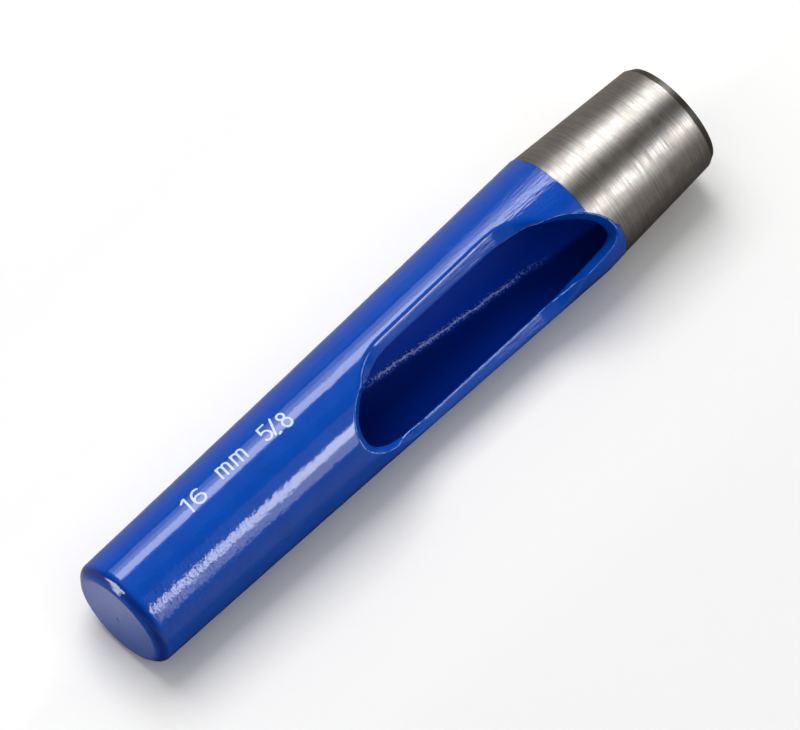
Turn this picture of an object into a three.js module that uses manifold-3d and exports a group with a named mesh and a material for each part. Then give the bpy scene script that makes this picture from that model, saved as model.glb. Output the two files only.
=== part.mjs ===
// Hollow punch: one steel forging with a film of blue enamel.
// The tool lies on its side along +X. The origin is the middle of the striking face, the
// cutting edge is the far end, and the ejection window leans over towards -Y.
// Left and right are seen from the striking face with the window up, so left is +Y before
// the window leans over. All sizes are in millimetres, and the shank's are over the enamel.

import * as THREE from 'three';
import { mergeVertices } from 'three/addons/utils/BufferGeometryUtils.js';
import Module from 'manifold-3d';

const wasm = await Module();
wasm.setup();

// The whole tool
const toolLength = 106;
const boreDiameter = 16;
const windowLeanDegrees = 48;

// The shank is a little wider than the bore at the striking face and widest at the paint line
const shankWall = 0.4;
const greatestWall = 1.96;
const shankHollow = 0.22;
const strikingChamferLength = 1.1;
const strikingChamferWidth = 1.4;

// The ground head, from the paint line to the cutting edge
const headLength = 21.6;
const grindStep = 0.03;
const bevelLength = 1.1;
const bevelWidth = 0.56;
const edgeFlat = 0.06;

// The drilled bore
const boreDepth = 67.4;
const drillPointDegrees = 118;

// The flat land of the window, with the mark of a round cutter at each end
const landDepth = 3;
const landFromBackTip = 12.1;
const landFromFrontTip = 15.65;
const landRunOutRadius = 12;

// The pocket that opens the land into the bore: a slot with a drafted round at each end.
// The rounds are measured at the datum depth below the greatest radius.
const slotSetIn = 0.3;
const pocketDatumDepth = 0.86;
const pocketFloorDepth = 3;
const pocketLeanDegrees = 25;
const pocketOverlap = 19;
const slotTaperFromTip = 11.65;
const slotTaperDegrees = 9.6;

// The pocket's round nearest the striking face
const backTipPastShoulder = 0.8;
const backTipOffset = 0.7;
const backRoundLength = 20;
const backLeftHalf = 14.6;
const backRightHalf = 9;
const backDraftDegrees = 46;

// The pocket's round nearest the cutting edge
const frontTipSetBack = 19.35;
const frontTipOffset = 2.74;
const frontRoundLength = 18.1;
const frontLeftHalf = 9.14;
const frontRightHalf = 5.6;
const frontDraftDegrees = 19.5;
const frontSkewDegrees = 16;

// The enamel
const enamelThickness = 0.15;
const enamelSeat = 0.02;
const enamelSetBack = 0.05;
const enamelPastWindow = 4.35;

// One overrun serves all cuts
const overrun = 1.5;

// Numbers of flat faces
const turnSegments = 60;
const shankSteps = 8;
const runOutSteps = 12;
const roundSteps = 32;

// Worked out from the sizes above
const boreRadius = boreDiameter / 2;
const boreShoulder = toolLength - boreDepth;
const shankLength = toolLength - headLength;
const shankRadius = boreRadius + shankWall;
const greatestRadius = boreRadius + greatestWall;
const faceRadius = shankRadius - strikingChamferWidth;
const bevelStart = toolLength - bevelLength;
const bevelRadius = boreRadius + edgeFlat + bevelWidth;
const landHeight = boreRadius - landDepth;
const backTip = boreShoulder + backTipPastShoulder;
const frontTip = toolLength - frontTipSetBack;
const slotHalf = Math.sqrt(boreRadius ** 2 - landHeight ** 2) - slotSetIn;
const pocketDatum = greatestRadius - pocketDatumDepth;
const cutTop = greatestRadius + overrun;
const windowLean = THREE.MathUtils.degToRad(windowLeanDegrees);
const pocketLean = Math.tan(THREE.MathUtils.degToRad(pocketLeanDegrees));

const backEnd = {
  facing: -1,
  tip: backTip,
  offset: backTipOffset,
  length: backRoundLength,
  left: backLeftHalf,
  right: backRightHalf,
  draft: Math.tan(THREE.MathUtils.degToRad(backDraftDegrees)),
  skew: 0,
};

const frontEnd = {
  facing: 1,
  tip: frontTip,
  offset: frontTipOffset,
  length: frontRoundLength,
  left: frontLeftHalf,
  right: frontRightHalf,
  draft: Math.tan(THREE.MathUtils.degToRad(frontDraftDegrees)),
  skew: Math.tan(THREE.MathUtils.degToRad(frontSkewDegrees)),
};

function toSolid(geometry) {
  geometry.deleteAttribute('normal');
  geometry.deleteAttribute('uv');
  const merged = mergeVertices(geometry);
  const vertProperties = new Float32Array(merged.attributes.position.array);
  const triVerts = new Uint32Array(merged.index.array);
  return new wasm.Manifold(new wasm.Mesh({ numProp: 3, vertProperties, triVerts }));
}

function toMesh(name, solid, material) {
  const { vertProperties, numProp, triVerts } = solid.getMesh();
  const geometry = new THREE.BufferGeometry();
  geometry.setAttribute('position', new THREE.BufferAttribute(vertProperties, numProp));
  geometry.setIndex(new THREE.BufferAttribute(triVerts, 1));
  geometry.computeVertexNormals();
  const mesh = new THREE.Mesh(geometry, material);
  mesh.name = name;
  return mesh;
}

// A solid turned about the tool's axis, from points [radius, x] that start and end on the axis.
// It has a flat at the very bottom, so the tool lies on a flat and not on a ridge.
function turned(profile) {
  const halfFlat = Math.PI / turnSegments;
  const points = profile.map(([radius, x]) => new THREE.Vector2(radius, x));
  const geometry = new THREE.LatheGeometry(points, turnSegments, halfFlat);
  geometry.rotateZ(-Math.PI / 2);
  return toSolid(geometry);
}

// A solid lofted straight from its outline at the floor to its outline at the mouth, each a
// list of points [x, y] that runs to the left round the front.
function lofted(floor, floorHeight, mouth, mouthHeight) {
  const count = floor.length;
  const positions = [];
  floor.forEach(([x, y]) => positions.push(x, y, floorHeight));
  mouth.forEach(([x, y]) => positions.push(x, y, mouthHeight));
  const faces = [];
  for (let i = 0; i < count; i += 1) {
    const next = (i + 1) % count;
    faces.push(i, next, count + i);
    faces.push(next, count + next, count + i);
  }
  const floorPoints = floor.map(([x, y]) => new THREE.Vector2(x, y));
  const mouthPoints = mouth.map(([x, y]) => new THREE.Vector2(x, y));
  for (const [a, b, c] of THREE.ShapeUtils.triangulateShape(floorPoints, [])) {
    faces.push(a, c, b);
  }
  for (const [a, b, c] of THREE.ShapeUtils.triangulateShape(mouthPoints, [])) {
    faces.push(count + a, count + b, count + c);
  }
  const geometry = new THREE.BufferGeometry();
  geometry.setAttribute('position', new THREE.Float32BufferAttribute(positions, 3));
  geometry.setIndex(faces);
  return geometry;
}

// The shank widens slowly at first and faster towards the head: points [radius, x].
function shankProfile(inset) {
  const middle = (strikingChamferLength + shankLength) / 2;
  const waist = (shankRadius + greatestRadius) / 2 - shankHollow;
  const curve = new THREE.QuadraticBezierCurve(
    new THREE.Vector2(shankRadius, strikingChamferLength),
    new THREE.Vector2(waist, middle),
    new THREE.Vector2(greatestRadius, shankLength),
  );
  return curve.getPoints(shankSteps).map((point) => [point.x - inset, point.y]);
}

// The forging before its bore and window are cut. Its shank lies under the enamel and its head
// is ground bare. With a clearance, every face moves out by it.
function forgingBlank(clearance) {
  const inset = enamelThickness - clearance;
  const shoulder = shankLength - clearance;
  return turned([
    [0, inset],
    [faceRadius, inset],
    ...shankProfile(inset).slice(0, -1),
    [greatestRadius - inset, shoulder],
    [greatestRadius - grindStep + clearance, shoulder],
    [bevelRadius + clearance, bevelStart],
    [boreRadius + edgeFlat + clearance, toolLength],
    [0, toolLength],
  ]);
}

// The outside of the enamel. Past the shank it runs inside the ground head, where only the
// walls of the window and the bore can meet it.
function enamelOutside() {
  const setBack = grindStep + enamelSetBack;
  const taper = (greatestRadius - bevelRadius) / (bevelStart - shankLength);
  const end = frontTip + enamelPastWindow;
  return turned([
    [0, 0],
    [faceRadius, 0],
    ...shankProfile(0),
    [greatestRadius - setBack, shankLength],
    [greatestRadius - setBack - taper * (end - shankLength), end],
    [0, end],
  ]);
}

// The drilled bore, with its drill point. An inset moves its walls in.
function boreCut(inset) {
  const radius = boreRadius - inset;
  const shoulder = boreShoulder + inset;
  const pointLength = radius / Math.tan(THREE.MathUtils.degToRad(drillPointDegrees / 2));
  return turned([
    [0, shoulder - pointLength],
    [radius, shoulder],
    [radius, toolLength + overrun],
    [0, toolLength + overrun],
  ]);
}

// All that a round milling cutter clears above the land and its two run-outs.
function landCut(inset) {
  const radius = landRunOutRadius - inset;
  const centreHeight = landHeight + landRunOutRadius;
  const down = -Math.PI / 2;
  const reach = Math.acos((centreHeight - cutTop) / radius);
  const profile = new THREE.Shape();
  profile.absarc(backTip + landFromBackTip, centreHeight, radius, down - reach, down, false);
  profile.absarc(frontTip - landFromFrontTip, centreHeight, radius, down, down + reach, false);
  profile.closePath();
  const geometry = new THREE.ExtrudeGeometry(profile, {
    depth: 2 * cutTop,
    bevelEnabled: false,
    curveSegments: runOutSteps,
  });
  geometry.rotateX(Math.PI / 2);
  geometry.translate(0, cutTop, 0);
  geometry.rotateX(windowLean);
  return toSolid(geometry);
}

// The outline of one round of the pocket at a height above the axis, as points [x, y]. It is
// half an ellipse, wider on one side than on the other, that shrinks with its draft and leans
// to the right on its way down.
function roundOutline(end, height, inset) {
  const drop = pocketDatum - height;
  const shrink = end.draft * drop + inset * Math.hypot(1, end.draft);
  const points = [];
  for (let i = 0; i <= roundSteps; i += 1) {
    const turn = Math.PI * (i / roundSteps - 1 / 2);
    const side = end.facing * Math.sin(turn);
    const half = (side > 0 ? end.left : end.right) - shrink;
    const fromTip = end.length - (end.length - shrink) * Math.cos(turn);
    const centre = end.offset + pocketLean * drop - end.skew * fromTip;
    points.push([end.tip - end.facing * fromTip, half * side - centre]);
  }
  const overlapStart = end.tip - end.facing * (end.length + pocketOverlap);
  const [, firstSide] = points[0];
  const [, lastSide] = points[roundSteps];
  const sideways = end.skew * pocketOverlap;
  return [[overlapStart, firstSide + sideways], ...points, [overlapStart, lastSide + sideways]];
}

// One round of the pocket as a solid that opens upwards.
function roundCut(end, inset) {
  const floorHeight = landHeight - pocketFloorDepth + inset;
  const floor = roundOutline(end, floorHeight, inset);
  const mouth = roundOutline(end, cutTop, inset);
  const geometry = lofted(floor, floorHeight, mouth, cutTop);
  geometry.rotateX(windowLean);
  return toSolid(geometry);
}

// The slot that the two rounds end. Its right side tapers in towards the front tip.
function slotCut(inset) {
  const floorHeight = landHeight - pocketFloorDepth + inset;
  const half = slotHalf - inset;
  const taperStart = frontTip - slotTaperFromTip;
  const taper = Math.tan(THREE.MathUtils.degToRad(slotTaperDegrees)) * (toolLength - taperStart);
  const outline = new THREE.Shape();
  outline.moveTo(0, -half);
  outline.lineTo(taperStart, -half);
  outline.lineTo(toolLength, taper - half);
  outline.lineTo(toolLength, half);
  outline.lineTo(0, half);
  outline.closePath();
  const geometry = new THREE.ExtrudeGeometry(outline, {
    depth: cutTop - floorHeight,
    bevelEnabled: false,
  });
  geometry.translate(0, 0, floorHeight);
  geometry.rotateX(windowLean);
  return toSolid(geometry);
}

// The whole pocket, with its walls moved in by an inset.
function pocketCut(inset) {
  const rounds = roundCut(backEnd, inset).add(roundCut(frontEnd, inset));
  return slotCut(inset).intersect(rounds);
}

// The bore and the window together, with their walls moved in by an inset.
function hollow(inset) {
  return boreCut(inset).add(landCut(inset)).add(pocketCut(inset));
}

// The forging: shank, ground head, cutting edge, bore and window in one piece of steel.
function punchBody() {
  const groundSteel = new THREE.MeshStandardMaterial({
    color: 0xb9b6b0,
    roughness: 0.3,
    metalness: 1,
  });
  const solid = forgingBlank(0).subtract(hollow(0));
  return toMesh('punch_body', solid, groundSteel);
}

// The enamel: a film over the shank and striking face that runs on into the window and bore.
function enamelCoat() {
  const blueEnamel = new THREE.MeshStandardMaterial({
    color: 0x0a47ad,
    roughness: 0.22,
    metalness: 0,
  });
  const seat = forgingBlank(enamelSeat).subtract(hollow(enamelSeat));
  const solid = enamelOutside().subtract(hollow(enamelThickness)).subtract(seat);
  return toMesh('enamel_coat', solid, blueEnamel);
}

const hollowPunch = new THREE.Group();
hollowPunch.add(punchBody());
hollowPunch.add(enamelCoat());

export default hollowPunch;
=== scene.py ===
"""The looks of a hollow punch lying on a pale sheet: one steel forging under blue enamel.

Lengths are in metres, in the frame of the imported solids: +X runs from the striking face to the
cutting edge, and the tool lies on its side. The forging's surface is worked out in the window's
own frame, where +Z points out of the window and +Y to its left as seen from the striking face.
"""

import logging
import math
from dataclasses import dataclass, field
from enum import Enum

import bmesh
import bpy
import numpy as np
from mathutils import Matrix, Vector

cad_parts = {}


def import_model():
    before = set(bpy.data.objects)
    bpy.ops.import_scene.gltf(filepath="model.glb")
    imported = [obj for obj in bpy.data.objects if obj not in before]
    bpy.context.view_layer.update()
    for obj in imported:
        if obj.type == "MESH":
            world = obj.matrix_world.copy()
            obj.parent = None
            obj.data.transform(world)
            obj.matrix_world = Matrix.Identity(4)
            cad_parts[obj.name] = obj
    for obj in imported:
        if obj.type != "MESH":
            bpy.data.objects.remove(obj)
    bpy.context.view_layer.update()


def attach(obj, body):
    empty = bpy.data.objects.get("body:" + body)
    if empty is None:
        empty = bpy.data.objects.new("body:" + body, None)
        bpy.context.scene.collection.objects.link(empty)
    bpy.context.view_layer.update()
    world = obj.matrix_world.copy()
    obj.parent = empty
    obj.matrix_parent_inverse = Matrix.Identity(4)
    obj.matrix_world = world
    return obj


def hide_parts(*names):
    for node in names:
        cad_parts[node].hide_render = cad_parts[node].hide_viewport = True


Array = np.ndarray
Socket = bpy.types.NodeSocket

LOG = logging.getLogger("hollow_punch")

BODY = "root"
QUARTER = math.pi / 2
CORNER_POINTS = 9


class Side(Enum):
    """Which end of the window's pocket a round closes."""

    BACK = -1
    FRONT = 1


class Slot(Enum):
    """The record's material slots."""

    STEEL = "ground_steel"
    ENAMEL = "blue_enamel"


class LampUse(Enum):
    """Whether a lamp lights matt surfaces or is only seen in shiny ones."""

    LIGHT = "light"
    SHEEN = "sheen"


def smooth_max(first: Array, second: Array, blend: float) -> Array:
    """The larger of two fields, with the crease between them rounded off over a blend."""
    overlap = np.maximum(blend - np.abs(first - second), 0.0) / blend
    return np.maximum(first, second) + overlap * overlap * blend / 4


def smooth_min(first: Array, second: Array, blend: float) -> Array:
    """The smaller of two fields, rounded in the same way."""
    return -smooth_max(-first, -second, blend)


def ease(share: Array) -> Array:
    """A smooth step from 0 to 1 as the share goes from 0 to 1."""
    held = np.clip(share, 0.0, 1.0)
    return held * held * (3 - 2 * held)


def tangent(degrees: float) -> float:
    """The tangent of an angle in degrees."""
    return math.tan(math.radians(degrees))


def even_steps(start: float, end: float, count: int) -> Array:
    """Even steps from one value towards another, without the last."""
    return np.linspace(start, end, count + 1)[:-1]


def around(x: Array, radius: Array, turn: Array) -> Array:
    """Places at distances and turns round the axis, from arrays or plain numbers."""
    x, radius, turn = np.broadcast_arrays(x, radius, turn)
    return np.stack([x, radius * np.sin(turn), radius * np.cos(turn)], axis=-1)


def polar(points: Array) -> tuple:
    """Each point's distance from the axis and its turn round it."""
    return np.hypot(points[..., 1], points[..., 2]), np.arctan2(points[..., 1], points[..., 2])


def between(start: tuple, end: tuple, shares: tuple) -> list:
    """Points at some shares of the way from one point to another."""
    return [tuple(np.array(start) * (1 - share) + np.array(end) * share) for share in shares]


def rounded(before: tuple, at: tuple, after: tuple, rounding: float) -> list:
    """Rounds one corner of a profile.

    Args:
        before: The profile's point before the corner, as radius and x.
        at: The corner itself.
        after: The profile's point after it.
        rounding: How far from the corner the rounding starts.

    Returns:
        Points of a smooth curve round the corner.
    """
    corner = np.array(at)
    first = np.array(before) - corner
    second = np.array(after) - corner
    first *= rounding / np.linalg.norm(first)
    second *= rounding / np.linalg.norm(second)
    shares = np.linspace(0.0, 1.0, CORNER_POINTS)
    return [tuple(corner + first * (1 - s) ** 2 + second * s**2) for s in shares]


def closing_walls(faces: list, lift: int) -> list:
    """Walls from the open border of a sheet to the same border of its copy.

    Args:
        faces: The sheet's faces, as lists of indices.
        lift: How much higher the copy's indices are.

    Returns:
        The walls, as lists of indices.
    """
    edges = dict.fromkeys(edge for face in faces for edge in zip(face, face[1:] + face[:1]))
    return [
        [end, start, start + lift, end + lift]
        for start, end in edges
        if (end, start) not in edges
    ]


def in_scene(name: str, data: bpy.types.ID) -> bpy.types.Object:
    """Puts a mesh, a lamp or a camera into the scene.

    Args:
        name: The object's name.
        data: What it shows.

    Returns:
        The object.
    """
    made = bpy.data.objects.new(name, data)
    bpy.context.scene.collection.objects.link(made)
    return made


def stance(place: Vector, right: Vector, up: Vector, back: Vector) -> Matrix:
    """The matrix that stands an object at a place with its axes along three directions."""
    return Matrix.Translation(place) @ Matrix((right, up, back)).transposed().to_4x4()


@dataclass(frozen=True)
class Wave:
    """A wave over the tool: its share of the height, radians per metre, number and phase."""

    height_share: float
    along: float
    number: int
    phase: float


def rippled(waves: tuple, x: Array, turn: Array) -> Array:
    """The sum of some waves at places along the tool and turns round it."""
    return sum(w.height_share * np.sin(w.along * x + w.number * turn + w.phase) for w in waves)


@dataclass(frozen=True)
class TurnedForm:
    """The outline that the forging's outside follows round the tool's axis."""

    length: float = 0.106
    face_radius: float = 0.007
    chamfer_end: float = 0.0011
    shank_radius: float = 0.0084
    greatest_radius: float = 0.00996
    shank_hollow: float = 0.00022
    paint_line: float = 0.0844
    ground_radius: float = 0.00988
    bevel_start: float = 0.1049
    bevel_radius: float = 0.00862
    edge_radius: float = 0.00805
    bore_radius: float = 0.008
    coat_thickness: float = 0.00015
    step_fade: float = 0.0056
    ripple: float = 0.000006
    ripple_start: float = 0.003
    ripple_rise: float = 0.006
    ripple_stop: float = 0.006
    ripple_fall: float = 0.005
    ripple_waves: tuple = (
        Wave(1.0, 610.0, 2, 0.4),
        Wave(0.8, 1130.0, -5, 1.9),
        Wave(0.2, 1720.0, 9, 4.1),
        Wave(0.5, 390.0, -3, 2.7),
    )
    pooled: float = 0.000115
    pooled_to_left: float = 0.000137
    pool_start: float = 0.0395
    pool_end: float = 0.086
    pool_fade: float = 0.005

    def shank(self, x: Array) -> Array:
        """The enamel's radius along the shank, a shallow curve that opens towards the head.

        Args:
            x: Places along the tool.

        Returns:
            The radii.
        """
        share = (x - self.chamfer_end) / (self.paint_line - self.chamfer_end)
        share = np.clip(share, 0.0, 1.0)
        waist = (self.shank_radius + self.greatest_radius) / 2 - self.shank_hollow
        ends = self.shank_radius * (1 - share) ** 2 + self.greatest_radius * share**2
        return ends + 2 * waist * share * (1 - share)

    def head(self, x: Array) -> Array:
        """The ground steel's radius along the head's cone."""
        share = (x - self.paint_line) / (self.bevel_start - self.paint_line)
        return self.ground_radius + share * (self.bevel_radius - self.ground_radius)

    def paint_step(self, x: Array) -> Array:
        """How far the outer surface stands over the ground steel, which fades along the head."""
        height = self.greatest_radius - self.ground_radius
        return height * (1 - ease((x - self.paint_line) / self.step_fade))

    def forging_ripple(self, x: Array, turn: Array) -> Array:
        """The slight unevenness that the hammer left along the shank.

        Args:
            x: Places along the tool.
            turn: Angles round the axis from the window's middle, in radians.

        Returns:
            How far the skin stands in or out.
        """
        start = ease((x - self.ripple_start) / self.ripple_rise)
        end = 1 - ease((x - self.paint_line + self.ripple_stop) / self.ripple_fall)
        return self.ripple * rippled(self.ripple_waves, x, turn) * start * end

    def radius(self, x: Array, turn: Array) -> Array:
        """The outer surface's radius at a place along the tool and an angle round it."""
        plain = np.where(x < self.paint_line, self.shank(x), self.head(x) + self.paint_step(x))
        return plain + self.forging_ripple(x, turn)

    def coated_bore(self, x: Array, turn: Array) -> Array:
        """The bore's radius inside the enamel, which pooled thicker beside the window.

        Args:
            x: Places along the tool.
            turn: Angles round the axis from the window's middle, in radians.

        Returns:
            The radii.
        """
        start = ease((x - self.pool_start) / self.pool_fade)
        end = ease((self.pool_end - x) / self.pool_fade)
        pool = (self.pooled + self.pooled_to_left * np.sin(turn)) * start * end
        return self.bore_radius - self.coat_thickness - pool


@dataclass(frozen=True)
class PocketRound:
    """One drafted round of the pocket: half an ellipse, wider on one side than on the other."""

    side: Side
    tip: float
    offset: float
    length: float
    left: float
    right: float
    draft_degrees: float
    skew_degrees: float
    reach: float
    datum: float = 0.0091
    lean_degrees: float = 25.0
    least_half: float = 0.0005
    least_slope: float = 1e-6

    def field(self, points: Array) -> Array:
        """About how far points lie outside the round, negative inside it.

        Args:
            points: Places in the window's frame, along the last axis.

        Returns:
            The distances.
        """
        drop = self.datum - points[..., 2]
        shrink = tangent(self.draft_degrees) * drop
        past_tip = self.side.value * (points[..., 0] - self.tip)
        lean = tangent(self.lean_degrees) * drop
        centre = self.offset + lean + tangent(self.skew_degrees) * past_tip
        along = np.maximum(past_tip + self.length, 0.0)
        across = -points[..., 1] - centre
        half = np.where(across < 0, self.left, self.right) - shrink
        half = np.maximum(half, self.least_half)
        long_half = np.maximum(self.length - shrink, self.least_half)
        share = np.hypot(along / long_half, across / half)
        slope = np.hypot(along / long_half**2, across / half**2)
        distance = share * (share - 1) / np.maximum(slope, self.least_slope)
        return np.maximum(distance, -past_tip - self.reach)


@dataclass(frozen=True)
class WindowForm:
    """The window that a cutter opened in the shank: a flat land with a pocket down to the bore."""

    land_height: float = 0.00505
    land_start: float = 0.0515
    land_end: float = 0.071
    run_out_radius: float = 0.012
    slot_half: float = 0.0058
    slot_taper_start: float = 0.075
    slot_taper_degrees: float = 9.6
    slot_corner: float = 0.0016
    rounds_blend: float = 0.0009
    back: PocketRound = PocketRound(
        side=Side.BACK,
        tip=0.0394,
        offset=0.0007,
        length=0.020,
        left=0.0146,
        right=0.009,
        draft_degrees=46.0,
        skew_degrees=0.0,
        reach=0.039,
    )
    front: PocketRound = PocketRound(
        side=Side.FRONT,
        tip=0.08665,
        offset=0.00274,
        length=0.0181,
        left=0.00914,
        right=0.0060,
        draft_degrees=19.5,
        skew_degrees=16.0,
        reach=0.0281,
    )

    def land(self, points: Array) -> Array:
        """How far points lie outside the sweep of the round cutter, negative inside it.

        Args:
            points: Places in the window's frame, along the last axis.

        Returns:
            The distances.
        """
        beyond = np.maximum(self.land_start - points[..., 0], points[..., 0] - self.land_end)
        under = self.land_height + self.run_out_radius - points[..., 2]
        return np.hypot(np.maximum(beyond, 0.0), under) - self.run_out_radius

    def pocket(self, points: Array) -> Array:
        """How far points lie outside the pocket, negative inside it.

        Args:
            points: Places in the window's frame, along the last axis.

        Returns:
            The distances.
        """
        back, front = self.back.field(points), self.front.field(points)
        past_start = np.maximum(points[..., 0] - self.slot_taper_start, 0.0)
        taper = tangent(self.slot_taper_degrees) * past_start
        slot = np.maximum(points[..., 1], taper - points[..., 1]) - self.slot_half
        return smooth_max(smooth_min(back, front, self.rounds_blend), slot, self.slot_corner)


@dataclass(frozen=True)
class ForgingField:
    """The whole forging under its enamel as one smooth field, negative inside the metal."""

    form: TurnedForm = field(default_factory=TurnedForm)
    window: WindowForm = field(default_factory=WindowForm)
    rim_blend: float = 0.00042
    wedge_blend: float = 0.00032
    probe: float = 0.000002

    def skin(self, points: Array) -> Array:
        """How far points stand outside the turned form."""
        radial, turn = polar(points)
        return radial - self.form.radius(points[..., 0], turn)

    def bore(self, points: Array) -> Array:
        """How far points stand inside the bore's wall."""
        radial, turn = polar(points)
        return self.form.coated_bore(points[..., 0], turn) - radial

    def value(self, points: Array) -> Array:
        """The forging's field.

        Args:
            points: Places in the window's frame, along the last axis.

        Returns:
            The field there.
        """
        outside = smooth_max(self.skin(points), -self.window.land(points), self.rim_blend)
        inside = smooth_max(self.bore(points), -self.window.pocket(points), self.wedge_blend)
        return smooth_max(outside, inside, self.wedge_blend)

    def outside(self, points: Array) -> Array:
        """How far points stand out of the skin or over the land, with no rounding."""
        return np.maximum(self.skin(points), -self.window.land(points))

    def edge_gap(self, points: Array) -> Array:
        """How far points lie from the edge between the outside and the pocket or bore."""
        inside = np.maximum(self.bore(points), -self.window.pocket(points))
        return np.abs(self.outside(points) - inside)

    def at_bore(self, points: Array) -> Array:
        """Where the bore's wall is the surface, as a mask."""
        others = np.maximum(self.outside(points), -self.window.pocket(points))
        return self.bore(points) > others

    def slope(self, points: Array, first: Array, second: Array) -> tuple:
        """The field's slopes along two directions.

        Args:
            points: Places in the window's frame.
            first: One direction for each place.
            second: Another direction for each place.

        Returns:
            The two slopes at each place.
        """
        step = self.probe
        rise = self.value(points + step * first) - self.value(points - step * first)
        lift = self.value(points + step * second) - self.value(points - step * second)
        return rise / (2 * step), lift / (2 * step)


class Weave:
    """Collects grids of points and weaves them into one mesh."""

    def __init__(self) -> None:
        """Starts with nothing in it."""
        self.points: list = []
        self.faces: list = []
        self.count: int = 0

    def add(self, grid: Array) -> None:
        """Adds a grid of points, with a face in each of its cells.

        Args:
            grid: Points by row and column, each [x, y, z].
        """
        rows, columns, _ = grid.shape
        index = self.count + np.arange(rows * columns).reshape(rows, columns)
        cells = [index[:-1, :-1], index[:-1, 1:], index[1:, 1:], index[1:, :-1]]
        self.points.append(grid.reshape(-1, 3))
        self.faces.append(np.stack(cells, axis=-1).reshape(-1, 4))
        self.count += rows * columns

    def sewn(self, merge_distance: float) -> bmesh.types.BMesh:
        """Joins the grids where their points meet.

        Args:
            merge_distance: How near two points have to be to become one.

        Returns:
            The joined mesh, facing outwards.
        """
        mesh = bpy.data.meshes.new("weave")
        vertices = np.concatenate(self.points)
        mesh.from_pydata(vertices.tolist(), [], np.concatenate(self.faces).tolist())
        joined = bmesh.new()
        joined.from_mesh(mesh)
        bpy.data.meshes.remove(mesh)
        bmesh.ops.remove_doubles(joined, verts=joined.verts, dist=merge_distance)
        bmesh.ops.recalc_face_normals(joined, faces=joined.faces)
        return joined


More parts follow.
